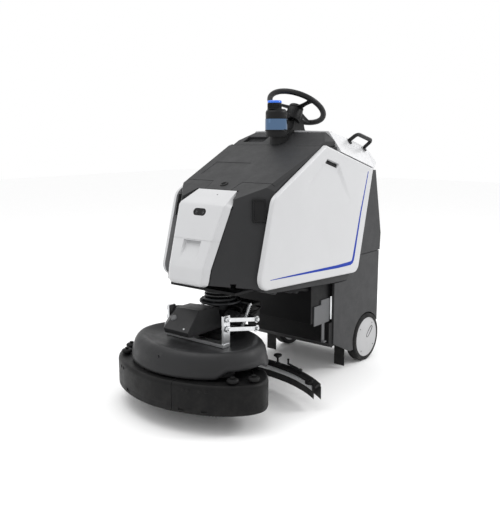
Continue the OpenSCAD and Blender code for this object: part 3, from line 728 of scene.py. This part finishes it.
for s, nm in ((1, "left"), (-1, "right")):
    b = "wheel_" + nm
    t = tyre(208, 260, 125, 103, 450, 125, "tyre")
    hubp = rounded([(10.05, 0), (60, 0), (66, 8), (96, 8), (102.9, 2), (102.9, 48), (99.5, 51), (97, 48.6), (88, 49.4), (60, 50.4), (0.01, 51)], 1.6, 3)
    hub = revolve("hub", (210, 450, 125), (1, 0, 0), hubp, 96)
    # decorative oval slot outline, sunk in the cover
    oc = Vector((261.2, 450 + 26, 125 + 24))
    ang = math.radians(42)
    du, dv = Vector((0, math.cos(ang), math.sin(ang))), Vector((0, -math.sin(ang), math.cos(ang)))
    path = []
    for k in range(48):
        q = 2 * math.pi * k / 48
        cx, cy = math.cos(q), math.sin(q)
        path.append(oc + du * (36 * math.copysign(abs(cx) ** 0.7, cx)) + dv * (11 * math.copysign(abs(cy) ** 0.8, cy)))
    tr = []
    for i, q in enumerate(path):
        t_ = (path[(i + 1) % 48] - path[i - 1]).normalized()
        o_ = t_.cross(Vector((1, 0, 0)))
        tr.append([q + (o_ * math.cos(2 * math.pi * k / 8) + Vector((1, 0, 0)) * math.sin(2 * math.pi * k / 8)) * 1.3 for k in range(8)])
    trim = mesh_of("trim", *grid(tr + [tr[0]], True, False))
    lug = [bolt((260.2, 450 + 84 * math.cos(a), 125 + 84 * math.sin(a)), (1, 0, 0), 3.2, 1.2) for a in (0.9, 2.47, 4.04, 5.61)]
    if s < 0:
        t, hub, trim, lug = mir(t), mir(hub), mir(trim), [mir(x) for x in lug]
    add("rear_tyre_%s_skin" % nm, t, M["tyre"], b, ("rear_tyre_" + nm,), 40)
    add("rear_hub_%s_skin" % nm, hub, M["hub"], b, ("rear_hub_" + nm,), 40)
    add("rear_hub_%s_trim" % nm, trim, M["black"], b, (), 60)
    add("rear_hub_%s_bolts" % nm, join("b", *lug), M["darksteel"], b, (), 40)

# ---------------------------------------------------------------- drive wheel
t = tyre(-27, 27, 100, 76, -400, 100, "dtyre", depth=1.6)
add("drive_tyre_skin", t, M["tyre"], "drive_wheel", ("drive_tyre",), 40)
hp = rounded([(12, -58), (12, -33), (26, -33), (26, -24), (60, -20), (70, -24), (75.9, -24), (75.9, 24), (70, 24), (60, 20), (26, 24), (26, 33), (12, 33), (12, 58)], 1.5, 3)
hub = revolve("dhub", (0, -400, 100), (1, 0, 0), [(0.01, -58)] + hp + [(0.01, 58)], 72)
lug = [bolt((sx_ * 33, -400 + 19 * math.cos(a), 100 + 19 * math.sin(a)), (sx_, 0, 0), 4, 3) for sx_ in (1, -1) for a in (0.5, 1.76, 3.01, 4.27, 5.53)]
add("drive_hub_skin", join("dh", hub, *lug), M["alu"], "drive_wheel", ("drive_hub",), 40)

# ---------------------------------------------------------------- tower: lidar, cap, beacon
add("lidar_glass_skin", revolve("lg", (0, 4, 0), (0, 0, 1), [(46.2, 1182), (52, 1182), (52.3, 1186), (52.3, 1228), (52, 1232), (46.2, 1232), (46.2, 1182)], 128), M["lidar"], "body", ("lidar_window",), 40)
cap = [revolve("c1", (0, 4, 0), (0, 0, 1), rounded([(0.01, 1182.5), (40, 1182.5), (40, 1232.4), (50, 1232.4), (50.4, 1234), (50.4, 1262), (47, 1270), (44, 1271), (42, 1277), (0.01, 1277)], 1.6, 3), 96),
       revolve("c2", (0, -10, 0), (0, 0, 1), rounded([(0.01, 1276), (34, 1276), (34, 1280), (31, 1281.5), (31, 1303), (33, 1304), (0.01, 1304)], 0.8, 3), 72)]
for k in range(26):
    a = 2 * math.pi * k / 26
    m4 = Matrix.Translation(P(0, -10, 1282)) @ Matrix.Rotation(a, 4, "Z") @ Matrix.Translation(Vector((0.0318, 0, 0.0100)))
    b = bmesh.new()
    bmesh.ops.create_cube(b, size=1)
    for v in b.verts:
        v.co = Vector((v.co.x * 0.0036, v.co.y * 0.0038, v.co.z * 0.019))
    bevelled(b, 0.8, 2)
    b.transform(m4)
    cap.append(tidy(b, "rib"))
arm = box_me((-20, 40, 1238), (20, 88, 1262), 2.5)
cap.append(arm)
for a in (0.5, 2.1, 3.7, 5.3):
    cap.append(bolt((44 * math.cos(a), 4 + 44 * math.sin(a), 1270.4), (0, 0, 1), 2.6, 1.4))
add("lidar_cap_skin", join("cap", *cap), M["black"], "body", ("lidar_cap",), 40)
add("beacon_skin", revolve("bc", (0, -10, 0), (0, 0, 1), rounded([(0.01, 1304.1), (33.2, 1304.1), (33.4, 1306), (33.4, 1311), (31, 1315), (25, 1316), (0.01, 1316)], 1.4, 4), 96), M["bluecap"], "body", ("beacon_light",), 40)
add("lidar_base_ring", revolve("lbr", (0, 4, 0), (0, 0, 1), rounded([(46, 1176), (52.6, 1177), (53.2, 1179), (52.6, 1181.6), (46, 1181.9), (46, 1176)], 0.6, 2), 96), M["black"], "body", (), 40)

# ---------------------------------------------------------------- steering wheel
T_ = math.radians(31.6)
WC = Vector((0, 165, 1289))
wy = Vector((0, math.cos(T_), -math.sin(T_)))
wz = Vector((0, math.sin(T_), math.cos(T_)))


def W(x, y, z):
    return WC + Vector((x, 0, 0)) + wy * y + wz * z


rings = []
for i in range(120):
    a = 2 * math.pi * i / 120
    ring = []
    for k in range(24):
        b = 2 * math.pi * k / 24
        rr = 13.4 + 0.25 * math.cos(24 * a) * max(0, -math.cos(b))
        ring.append(W((135 + rr * math.cos(b)) * math.cos(a), (135 + rr * math.cos(b)) * math.sin(a), rr * 0.96 * math.sin(b)))
    rings.append(ring)
rings.append(rings[0])
rim = mesh_of("rim", *grid(rings, True, False))
parts = [rim]
for deg in (90, 205, 335):
    a = math.radians(deg)
    d, n = Vector((math.cos(a), math.sin(a))), Vector((-math.sin(a), math.cos(a)))
    rs = []
    for r, hw, zt, th in ((20, 19, -3.5, 12), (34, 16, -3.5, 11), (48, 12.5, -2.5, 10), (75, 10.5, -1.5, 9), (105, 11, -0.5, 9), (120, 14, 1, 10), (131, 18, 2, 10)):
        ring = []
        for k in range(16):
            b = 2 * math.pi * k / 16
            cx, cy = math.cos(b), math.sin(b)
            cx, cy = math.copysign(abs(cx) ** 0.55, cx), math.copysign(abs(cy) ** 0.7, cy)
            p = d * r + n * (hw * cx)
            ring.append(W(p.x, p.y, zt - th / 2 + cy * th / 2))
        rs.append(ring)
    parts.append(loft("spoke", rs))
add("steering_rim", join("rim", *parts), M["grip"], "steering", ("steering_wheel",), 50)
hub = revolve("shub", WC, wz, rounded([(0.01, -70), (12, -70), (12, -30), (22, -28), (34, -16), (36, -10), (36, 0), (33, 3), (28, 4), (12, 5.6), (0.01, 6)], 1.5, 4), 72)
add("steering_hub", hub, M["black"], "steering", (), 40)

# ---------------------------------------------------------------- grab handle, stop button, display
hnd = tube("handle", bend([(225, 292, 1134), (250, 320, 1163), (250, 460, 1130), (226, 435, 1099)], 24, 8), 8.6, 24, 1.7)
feet = [revolve("foot", c, (0.79, 0.16, 0.59), rounded([(0.01, -1.2), (15, -1.2), (15, 1.5), (11, 4.5), (0.01, 4.5)], 1, 3), 32) for c in ((225, 292.5, 1127.5), (226.3, 433, 1090))]
add("grab_handle_skin", join("h", hnd, *feet), M["grip"], "body", ("grab_handle",), 50)
ea = math.radians(14.6)
en = Vector((0, math.sin(ea), math.cos(ea)))
ec = Vector((120, 435, 1107.3))
add("stop_ring", revolve("sr", ec, en, rounded([(9.2, 0), (24, 0), (24, 9), (22, 12), (9.2, 12), (9.2, 0)], 1.2, 3), 64), M["yellow"], "body", ("estop_base",), 40)
add("stop_knob", revolve("sk", ec, en, rounded([(0.01, 5), (8.9, 5), (8.9, 17), (17.5, 17), (19, 19), (19, 26), (16.5, 30), (10, 31), (0.01, 31)], 1.6, 4), 64), M["red"], "estop_head", ("estop_button",), 40)
scr = box_me((-67, -37, 7.4), (67, 37, 8.7), 0.5)
bm = bmesh.new()
bm.from_mesh(scr)
bm.transform(Matrix.Translation(P(-95, 440, 1111.6)) @ Matrix.Rotation(-math.radians(14), 4, "X") @ Matrix.Translation(Vector((0, -YS / 1000, 0))))
bm.to_mesh(scr)
bm.free()
add("display_glass", scr, M["screen"], "body", (), 40)
for i, (x, y, z) in enumerate(((205, 155, 1171.0), (-205, 155, 1171.0))):
    add("cap_screw_%d" % i, bolt((x, y, z), (0.0, 0.23, 0.97), 4.2, 2), M["darksteel"], "body", (), 40)

# ---------------------------------------------------------------- turret
z0 = 459
boot = []
for z in (489, 474):
    boot.append(revolve("b", (0, -400, z), (0, 0, 1), rounded([(60.4, -7), (66, -7), (69.6, -4), (70, -0.8), (69.6, 2.4), (66, 5.4), (60.4, 5.4), (60.4, -7)], 1.8, 4), 96))
add("turret_boot_skin", join("boot", *boot), M["boot"], "body", ("turret_boot",), 50)
sp = [revolve("s", (0, -400, 0), (0, 0, 1), rounded([(0.01, 400), (32, 400), (32, 436.2), (86, 436.2), (92, 439), (92, 447), (88, 450), (74, 452), (72, 461.5), (29.9, 461.5), (29.9, 532.7), (44, 532.7), (44, 544.8), (0.01, 544.8)], 1.6, 3), 96)]
for k in range(8):
    a = math.pi / 8 + k * math.pi / 4
    sp.append(bolt((81 * math.cos(a), -400 + 81 * math.sin(a), 450.2), (0, 0, 1), 5, 3.4))
add("turret_spindle_skin", join("sp", *sp), M["darksteel"], "head", ("turret_spindle",), 40)

# ---------------------------------------------------------------- drive unit cover
recast("drive_unit_cover", 9, M["deck"], "head", 4, 14)
kn = revolve("kn", (-84, -603, 389), (0, -0.633, 0.774), rounded([(0.01, -10), (15, -10), (15, 2), (12, 6), (0.01, 6.5)], 1.6, 3), 40)
add("drive_unit_cap", kn, M["grey"], "head", (), 40)
add("drive_unit_bolt", join("b", bolt((-128, -612, 360), (-0.62, -0.6, 0.5), 5, 3), bolt((4, -636, 362), (0, -0.633, 0.774), 5, 3)), M["steel"], "head", (), 40)

# ---------------------------------------------------------------- scrub deck
DY, KY = -540.0, -598.0


def sup(a, b, n, yc, k):
    out = []
    for i in range(k):
        t = 2 * math.pi * i / k
        c, s = math.cos(t), math.sin(t)
        out.append((a * math.copysign(abs(c) ** (2 / n), c), yc + b * math.copysign(abs(s) ** (2 / n), s)))
    return out


def sstep(a, b, x):
    t = max(0.0, min(1.0, (x - a) / (b - a)))
    return t * t * (3 - 2 * t)


K = 256


def deck_ring(a, b, n, zf):
    return [(x, y, zf(x, y)) for x, y in sup(a, b, n, DY, K)]


def lift(x, y):
    return 28 * sstep(236, 276, abs(x)) * sstep(-448, -520, y)


outer = [
    deck_ring(316, 250, 1.95, lambda x, y: 213 + lift(x, y)),
    deck_ring(320, 254, 1.95, lambda x, y: 213.6 + lift(x, y)),
    deck_ring(322.6, 256.6, 1.95, lambda x, y: 217 + lift(x, y)),
    deck_ring(323, 257, 1.95, lambda x, y: 224 + lift(x, y)),
    deck_ring(322, 256, 1.955, lambda x, y: 233 + lift(x, y) * 0.9),
    deck_ring(318.5, 251, 1.965, lambda x, y: 240 + lift(x, y) * 0.82),
    deck_ring(317, 248.5, 1.97, lambda x, y: 250 + lift(x, y) * 0.62),
    deck_ring(314, 243.5, 1.985, lambda x, y: 267 + lift(x, y) * 0.3),
    deck_ring(311, 238.5, 2, lambda x, y: 283),
    deck_ring(303, 229, 2, lambda x, y: 298),
    deck_ring(293, 218, 2, lambda x, y: 308),
    deck_ring(284, 208.5, 2, lambda x, y: 311.4),
    deck_ring(276, 200, 2, lambda x, y: 311.6),
    deck_ring(270, 194, 2, lambda x, y: 309.6),
    deck_ring(252, 176, 2, lambda x, y: 301.5),
    deck_ring(234, 159, 2, lambda x, y: 295),
    deck_ring(222, 147, 2, lambda x, y: 292.2),
    deck_ring(208, 134, 2, lambda x, y: 291.9),
    deck_ring(120, 74, 2, lambda x, y: 291.9),
    deck_ring(30, 18, 2, lambda x, y: 291.9),
]
inner = [
    deck_ring(30, 18, 2, lambda x, y: 286),
    deck_ring(222, 147, 2, lambda x, y: 286),
    deck_ring(276, 198, 2, lambda x, y: 305),
    deck_ring(288, 212, 2, lambda x, y: 301),
    deck_ring(306, 233, 2, lambda x, y: 281),
    deck_ring(317, 250, 1.95, lambda x, y: 228 + lift(x, y) * 0.8),
    deck_ring(312, 246, 1.95, lambda x, y: 213 + lift(x, y)),
]
verts, faces = grid(outer + inner + [outer[0]], True, False)
# close the two centre discs
nO = (len(outer) - 1) * K
nI = len(outer) * K
faces = [f for f in faces if not (nO <= f[0] < nO + K)]
faces.append(tuple(nO + i for i in range(K)))
faces.append(tuple(nI + i for i in range(K))[::-1])
dm = mesh_of("deck", verts, faces)
cuts = [box_me((-66, -500, 150), (66, -200, 350), 6)]
for s in (1, -1):
    cuts.append(revolve("hole", (s * 0.01, -744, 280), (0, -1, 0), [(4.2, -8), (4.2, 60)], 24)) if s > 0 else None
cuts = [c for c in cuts if c]
dm = carve(dm, cuts)
add("deck_cover_skin", dm, M["deck"], "deck", ("deck_cover",), 42)
add("deck_front_screw", bolt((0, -782.5, 278), (0, -1, 0.25), 3.6, 1.4), M["darksteel"], "deck", (), 40)


def skirt_ring(t, prof, a=393.0, b=228.0, n=1.8):
    c, s = math.cos(t), math.sin(t)
    out = []
    for d, z in prof:
        aa, bb = a - d, b - d * (62 / 71)
        nn = n + 0.1 * d / 71
        out.append((aa * math.copysign(abs(c) ** (2 / nn), c), KY + bb * math.copysign(abs(s) ** (2 / nn), s), z))
    return out


SP = rounded([(0.8, 86), (0, 89), (0, 110), (0.6, 111.2), (0, 112.4), (0, 190), (2.5, 198), (9, 204.6), (16, 206.2), (60, 206.2), (70, 206.2)], 2.5, 3) + \
    rounded([(70, 198.6), (16, 198.6), (10.4, 194), (10, 186), (10, 86)], 3, 3)


def skirt(t0, t1, sgn):
    k = 150
    rings = [skirt_ring(math.radians(t0 + (t1 - t0) * i / k), SP) for i in range(k + 1)]
    return loft("skirt", rings)


def wall_pt(x, z, off=0.0):
    """Point and outward normal on the skirt's front wall at a given X."""
    f = max(0.0, 1 - (abs(x) / 393) ** 1.8)
    y = KY - 228 * f ** (1 / 1.8)
    dx = 0.5
    f2 = max(0.0, 1 - (abs(x + dx) / 393) ** 1.8)
    y2 = KY - 228 * f2 ** (1 / 1.8)
    t = Vector((dx, y2 - y, 0)).normalized()
    n = Vector((t.y, -t.x, 0))
    return Vector((x, y, z)) + n * off, n


def wall_box(x, z, w, h, d):
    p, n = wall_pt(x, z)
    t = Vector((-n.y, n.x, 0))
    vs = []
    for a in (-d, d):
        for b, c in ((-w, -h), (w, -h), (w, h), (-w, h)):
            vs.append(p + n * a + t * b + Vector((0, 0, c)))
    return mesh_of("wb", vs, [(0, 1, 2, 3), (7, 6, 5, 4), (0, 4, 5, 1), (1, 5, 6, 2), (2, 6, 7, 3), (3, 7, 4, 0)])


for nm, t0, t1, s, slots, boss in (("left", -72.3, 36, 1, (146, 236), (155, 174, 221, 245)), ("right", -72.7, -216, -1, (-174,), (-221, -245))):
    sk = skirt(t0, t1, s)
    sk = carve(sk, [wall_box(x, 101, 12, 6, 3.2) for x in slots])
    bits = []
    for x in boss:
        p, n = wall_pt(x, 183)
        bits.append(revolve("boss", p, n, rounded([(0.01, -2), (7.5, -2), (7.2, 1.4), (4.5, 2.8), (0.01, 3)], 0.8, 3), 28))
    for x in slots:
        bits.append(join("lip", wall_box(x, 95.4, 14, 1.1, 1.3)))
    # bumper roller posts
    for px, py in ((306, -679), (355, -609)):
        bits.append(revolve("post", (s * px, py, 0), (0, 0, 1), rounded([(0.01, 205), (12, 205), (12, 208.4), (6, 208.6), (5.9, 230), (9.5, 230.2), (9.5, 233), (7, 234.5), (0.01, 234.5)], 0.6, 2), 32))
    add("skirt_%s_skin" % nm, join("sk", sk, *bits), M["skirt"], "deck", ("skirt_" + nm,), 40)

RP = rounded([(6.2, 209.2), (15, 209.2), (21, 211), (24, 215), (24, 221), (21, 225), (15, 226.8), (6.2, 226.8), (6.2, 209.2)], 1.6, 3)
for nm, b, x, y in (("roller_front_left", "roller_fl", 306, -679), ("roller_rear_left", "roller_rl", 355, -609),
                    ("roller_front_right", "roller_fr", -306, -679), ("roller_rear_right", "roller_rr", -355, -609)):
    add(nm + "_skin", revolve("r", (x, y, 0), (0, 0, 1), RP, 56), M["rubber"], b, (nm,), 45)

bmots = []
for s in (1, -1):
    bmots.append(revolve("m", (s * 172, KY, 0), (0, 0, 1), rounded([(10.2, 198), (62, 198), (62, 214), (50, 217), (48, 222), (48, 268), (42, 276), (10.2, 276), (10.2, 198)], 2, 3), 64))
    for k in range(6):
        a = k * math.pi / 3
        bmots.append(bolt((s * 172 + 55 * math.cos(a), KY + 55 * math.sin(a), 215), (0, 0, 1), 4, 3))
add("brush_motors_skin", join("bm", *bmots), M["motor"], "deck", ("brush_motors",), 40)

for s, nm in ((1, "left"), (-1, "right")):
    c = (s * 172, KY, 0)
    disc = revolve("d", c, (0, 0, 1), rounded([(0.01, 214), (9.9, 214), (9.9, 182), (18, 180), (18, 172), (60, 158), (150, 158), (155, 155), (155, 144), (152, 141), (70, 141), (70, 139), (30, 139), (0.01, 139)], 1.5, 3), 96)
    bm = bmesh.new()
    for ri, r in enumerate((78, 92, 106, 120, 134, 147)):
        n = int(2 * math.pi * r / 12.5)
        for i in range(n):
            a = 2 * math.pi * (i + 0.5 * (ri % 2)) / n + rnd.uniform(-0.006, 0.006)
            sp_ = 1.0 + 0.035 * (ri / 5)
            base = Vector((c[0] + r * math.cos(a), c[1] + r * math.sin(a), 142))
            tip = Vector((c[0] + r * sp_ * math.cos(a + 0.02), c[1] + r * sp_ * math.sin(a + 0.02), 72.2 + rnd.uniform(0, 1.6)))
            rr = []
            for f, w in ((0, 3.0), (0.5, 3.6), (1, 4.6)):
                q = base.lerp(tip, f)
                rr.append([bm.verts.new(P(*(q + Vector((math.cos(j * math.pi / 3) * w, math.sin(j * math.pi / 3) * w, 0))))) for j in range(6)])
            for u, v in zip(rr, rr[1:]):
                for j in range(6):
                    bm.faces.new((u[j], u[(j + 1) % 6], v[(j + 1) % 6], v[j]))
            bm.faces.new(rr[0])
            bm.faces.new(rr[-1][::-1])
    tufts = tidy(bm, "tufts")
    add("brush_%s_block" % nm, disc, M["black"], "brush_" + nm, ("brush_" + nm,), 40)
    add("brush_%s_bristles" % nm, tufts, M["bristle"], "brush_" + nm, (), 50)


# ---------------------------------------------------------------- squeegee
def sqy(x):
    return -165 - 127 * (abs(x) / 455) ** 2.6


def strip(name, hw, prof, k=120, taper=None):
    """Section of (offset, z) pairs swept along the squeegee's curve."""
    rings = []
    for i in range(k + 1):
        x = -hw + 2 * hw * i / k
        dx = 0.5
        t = Vector((2 * dx, sqy(x + dx) - sqy(x - dx), 0)).normalized()
        n = Vector((-t.y, t.x, 0))
        e = taper(x) if taper else 1.0
        rings.append([Vector((x, sqy(x), z)) + Vector((0, o * e, 0)) for o, z in prof])
    return loft(name, rings)


fr = [strip("f", 446, rounded([(-23, 110.4), (-23, 116), (-18, 121.8), (16, 121.8), (19.5, 118), (19.5, 110.4), (0, 110.4), (-22.9, 110.4)], 2, 3))]
for s in (1, -1):
    fr.append(revolve("e", (s * 396, -268, 0), (0, 0, 1), rounded([(0.01, 110), (25.6, 110), (25.6, 119), (22, 122), (9, 122), (8, 127), (0.01, 127)], 1.4, 3), 48))
    fr.append(box_me((36 if s > 0 else -46, -204.3, 120), (46 if s > 0 else -36, -176.3, 189.4), 3))
    fr.append(revolve("p", (s * 300, -212, 0), (0, 0, 1), rounded([(3.2, 121), (9, 121), (9, 129.8), (3.2, 129.8), (3.2, 121)], 0.8, 3), 32))
fr.append(revolve("x", (-62, -190.34, 175.36), (1, 0, 0), rounded([(0.01, 0), (8, 0), (8, 124), (0.01, 124)], 1, 3), 32))
fr.append(revolve("sock", (0, -150, 0), (0, 0, 1), rounded([(24, 118), (30, 118), (30, 150), (31.6, 152), (31.6, 156), (30, 158), (30, 165), (24, 165), (24, 118)], 1, 3), 72))
frm = join("frame", *fr)
add("squeegee_frame_skin", frm, M["frame"], "squeegee", ("squeegee_frame",), 40)
bl = [strip("b1", 451.5, rounded([(14, 109.4), (14, 58), (15.4, 53.2), (17.6, 53.2), (18, 58), (18, 109.4), (16, 109.5), (14.1, 109.4)], 0.8, 2)),
      strip("b2", 430, rounded([(-22, 109.4), (-22, 59), (-21, 55.2), (-19.6, 55.2), (-19, 59), (-19, 109.4), (-20, 109.5), (-21.9, 109.4)], 0.6, 2))]
add("squeegee_blades_skin", join("bl", *bl), M["rubber"], "squeegee", ("squeegee_blades",), 45)
cl = [strip("c1", 438, rounded([(18.2, 88.4), (18.2, 109.2), (20.4, 109.2), (20.4, 90), (19.6, 88.4), (18.3, 88.4)], 0.4, 2)),
      strip("c2", 418, rounded([(-22.2, 88.4), (-22.2, 109.2), (-24.4, 109.2), (-24.4, 90), (-23.6, 88.4), (-22.3, 88.4)], 0.4, 2))]
for i in range(11):
    x = -400 + 80 * i
    cl.append(bolt((x, sqy(x) + 20.3, 100), (0, 1, 0), 4, 2.4))
add("squeegee_clamps_skin", join("cl", *cl), M["alu"], "squeegee", ("squeegee_clamps",), 40)
kb = []
for x in (-150, 150):
    y = sqy(x) - 2
    kb.append(revolve("k", (x, y, 0), (0, 0, 1), rounded([(0.01, 122.2), (12, 122.2), (12, 126), (5, 127), (5, 150), (9, 151.5), (19, 160), (19, 165), (16, 167), (0.01, 167)], 1.2, 3), 40))
    for k in range(6):
        a = k * math.pi / 3
        kb.append(revolve("l", (x + 17.2 * math.cos(a), y + 17.2 * math.sin(a), 0), (0, 0, 1), rounded([(0.01, 158.6), (3.2, 158.6), (3.2, 165), (0.01, 165.6)], 0.8, 2), 14))
add("squeegee_knobs_skin", join("kb", *kb), M["black"], "squeegee", ("squeegee_knobs",), 45)
la = math.radians(158)
ld = Vector((math.cos(la), math.sin(la), 0))
lp = Vector((300, -212, 0))
lv = [revolve("l0", lp, (0, 0, 1), rounded([(0.01, 110), (2.95, 110), (2.95, 130.4), (11, 130.4), (11, 136), (9, 138), (0.01, 138)], 0.8, 3), 32),
      tube("l1", [lp + ld * 4 + Vector((0, 0, 134)), lp + ld * 50 + Vector((0, 0, 134)), lp + ld * 98 + Vector((0, 0, 134))], 4.4, 20, 1.6),
      revolve("l2", lp + ld * 96, (0, 0, 1), rounded([(0.01, 131), (4.4, 131), (4.4, 150), (6, 152), (6, 156), (4, 157.5), (0.01, 157.5)], 0.9, 3), 28)]
add("squeegee_lever_skin", join("lv", *lv), M["black"], "squeegee_lever", ("squeegee_lever",), 45)

# ---------------------------------------------------------------- small parts on the head and chassis
rods = []
for z, r in ((375, 9.9), (335, 7.9)):
    for s in (1, -1):
        rods.append(revolve("nut", (s * 176, -360, z), (s, 0, 0), rounded([(0.01, 0), (11 if r > 8 else 9, 0), (11 if r > 8 else 9, 5.4), (6, 6.5), (0.01, 6.5)], 0.8, 2), 6 * 4))
add("lift_rod_ends", join("rods", *rods), M["steel"], "head", (), 40)
add("service_rod", revolve("sr", (240, 127.5, 0), (0, 0, 1), rounded([(0.01, 285.6), (6.2, 285.6), (6.2, 398.4), (0.01, 398.4)], 0.8, 2), 32), M["chrome"], "body", (), 40)
can = [revolve("can", (36.5, -390, 372), (1, 0, 0), rounded([(0.01, 0), (30, 0), (30, 6), (27, 8), (27, 60), (30, 62), (30, 68), (25, 72), (25, 86), (18, 90), (0.01, 90)], 1.4, 3), 48),
       revolve("can2", (-36.5, -392, 366), (-1, 0, 0), rounded([(0.01, 0), (26, 0), (26, 70), (20, 76), (0.01, 76)], 1.4, 3), 48)]
for k in range(9):
    can.append(revolve("fin", (48 + 5.4 * k, -390, 372), (1, 0, 0), rounded([(26.8, 0), (29.4, 0.6), (29.4, 1.6), (26.8, 2.2), (26.8, 0)], 0.3, 2), 48))
add("drive_motor_can", join("can", *can), M["motor"], "head", (), 40)
cab = [tube("cab", bend([(112, -392, 396), (118, -396, 424), (70, -398, 432), (52, -398, 437.5)], 20, 8), 4.2, 12),
       tube("cab2", bend([(88, -372, 392), (96, -352, 420), (60, -350, 430), (40, -372, 437.5)], 22, 8), 3.4, 12),
       tube("cab3", bend([(-60, -372, 388), (-82, -350, 416), (-50, -352, 430), (-36, -374, 437.5)], 22, 8), 3.4, 12)]
add("drive_motor_leads", join("cab", *cab), M["rubber"], "head", (), 60)


hb = join("ctl", box_me((-92, -334, 360), (118, -262, 430), 9), *[box_me((-70 + 20 * k, -262.5, 368), (-60 + 20 * k, -256, 422), 2) for k in range(9)],
          bolt((-78, -300, 430), (0, 0, 1), 4, 3), bolt((104, -300, 430), (0, 0, 1), 4, 3), box_me((-30, -342, 372), (30, -330, 402), 3))
add("drive_controller", hb, M["black"], "head", (), 40)
add("drive_controller_leads", join("l", tube("l1", bend([(116, -286, 410), (142, -290, 412), (146, -330, 400), (112, -372, 384)], 24, 8), 4.5, 12),
                                   tube("l2", bend([(116, -300, 392), (136, -310, 392), (136, -350, 380), (118, -382, 366)], 20, 8), 3.6, 12)), M["rubber"], "head", (), 60)


def spring(a, b, r, wire, turns, n=14):
    a, b = Vector(a), Vector(b)
    d, u, v = frame_of(b - a)
    k = turns * n
    return tube("spring", [a + (b - a) * i / k + (u * math.cos(2 * math.pi * i / n) + v * math.sin(2 * math.pi * i / n)) * r for i in range(k + 1)], wire, 8)


sx = []
for s in (1, -1):
    sx.append(spring((s * 128, -404, 344), (s * 128, -352, 430), 8.5, 1.7, 11))
    sx.append(revolve("sp1", (s * 128, -404, 344), (0, 52, 86), rounded([(0.01, -8), (9.5, -8), (9.5, 2), (5, 3), (5, 100), (9.5, 101), (9.5, 106), (0.01, 106)], 0.8, 2), 28))
    sx.append(tube("eye", [(s * 36, -404, 338), (s * 90, -404, 338), (s * 132, -404, 338)], 4.5, 16))
    sx.append(tube("eye2", [(s * 36, -350, 434), (s * 90, -350, 434), (s * 132, -350, 434)], 4.5, 16))
add("lift_springs", join("springs", *sx), M["steel"], "head", (), 50)

pump = [revolve("pu", (100, -90, 458), (1, 0, 0), rounded([(0.01, 0), (17, 0), (19, 3), (19, 62), (15, 66), (15, 96), (0.01, 98)], 1.5, 3), 40),
        revolve("pv", (40, -210, 470), (1, 0, 0), rounded([(0.01, 0), (16, 0), (16, 120), (0.01, 122)], 2, 3), 32)]
add("pump_bodies", join("pump", *pump), M["motor"], "body", (), 40)


def ribbed(pts, r, amp=1.2, pitch=7.0):
    """Corrugated hose."""
    pts = [Vector(p) for p in pts]
    out, rad = [], []
    acc = 0.0
    for a, b in zip(pts, pts[1:]):
        n = max(1, int((b - a).length / (pitch / 4)))
        for i in range(n):
            out.append(a + (b - a) * i / n)
    out.append(pts[-1])
    rings = []
    u = frame_of((out[1] - out[0]))[1]
    for i, p in enumerate(out):
        t = (out[min(i + 1, len(out) - 1)] - out[max(i - 1, 0)]).normalized()
        u = (u - t * u.dot(t)).normalized()
        v = t.cross(u)
        rr = r + amp * (1 if i % 4 in (1, 2) else -1) * 0.5
        rings.append([p + (u * math.cos(2 * math.pi * k / 16) + v * math.sin(2 * math.pi * k / 16)) * rr for k in range(16)])
    return loft("hose", rings)


hs = [ribbed(bend([(206, -20, 452), (214, -90, 468), (206, -180, 478), (150, -260, 484), (96, -300, 488)], 60, 10), 11),
      ribbed(bend([(160, -90, 462), (206, -60, 458), (200, 0, 440), (180, 20, 420)], 40, 8), 8)]
add("chassis_hoses", join("hoses", *hs), M["rubber"], "body", (), 60)

# ---------------------------------------------------------------- stage, light, camera
bm = bmesh.new()
bmesh.ops.create_grid(bm, x_segments=8, y_segments=8, size=14)
fl = bpy.data.meshes.new("floor")
bm.to_mesh(fl)
bm.free()
fm = mat("studio_floor", (0.97, 0.97, 0.97), 0.95, spec=0.1, grain=(60, 0.01), vary=0.003, rvary=0.03)
fl.materials.append(fm)
floor = bpy.data.objects.new("studio_floor", fl)
bpy.context.scene.collection.objects.link(floor)

w = bpy.data.worlds.new("studio")
bpy.context.scene.world = w
w.use_nodes = True
w.node_tree.nodes["Background"].inputs[0].default_value = (1, 1, 1, 1)
w.node_tree.nodes["Background"].inputs[1].default_value = 1.0


def area(name, loc, target, size, power, sy=None):
    l = bpy.data.lights.new(name, "AREA")
    l.energy, l.size = power, size
    if sy:
        l.shape, l.size_y = "RECTANGLE", sy
    o = bpy.data.objects.new(name, l)
    o.location = loc
    o.rotation_euler = (Vector(target) - Vector(loc)).to_track_quat("-Z", "Y").to_euler()
    bpy.context.scene.collection.objects.link(o)


area("top", (-0.6, -0.8, 3.6), (0, 0, 0.6), 2.6, 42)
area("front_left", (-2.6, -3.2, 2.2), (0, -0.3, 0.7), 1.8, 3)
area("right", (3.2, 2.4, 3.1), (0, 0.1, 0.8), 1.2, 62)
area("rim", (0.8, 3.4, 2.4), (0, 0, 0.8), 1.6, 12)

cam = bpy.data.cameras.new("photo_camera")
cam.sensor_width = 36
cam.lens = 49.252
co = bpy.data.objects.new("photo_camera", cam)
co.location = (1.98286, -2.52634, 1.17023)
co.rotation_euler = (math.radians(80.0284), 0, math.radians(38.874))
bpy.context.scene.collection.objects.link(co)
bpy.context.scene.camera = co
bpy.context.scene.view_settings.view_transform = "Standard"
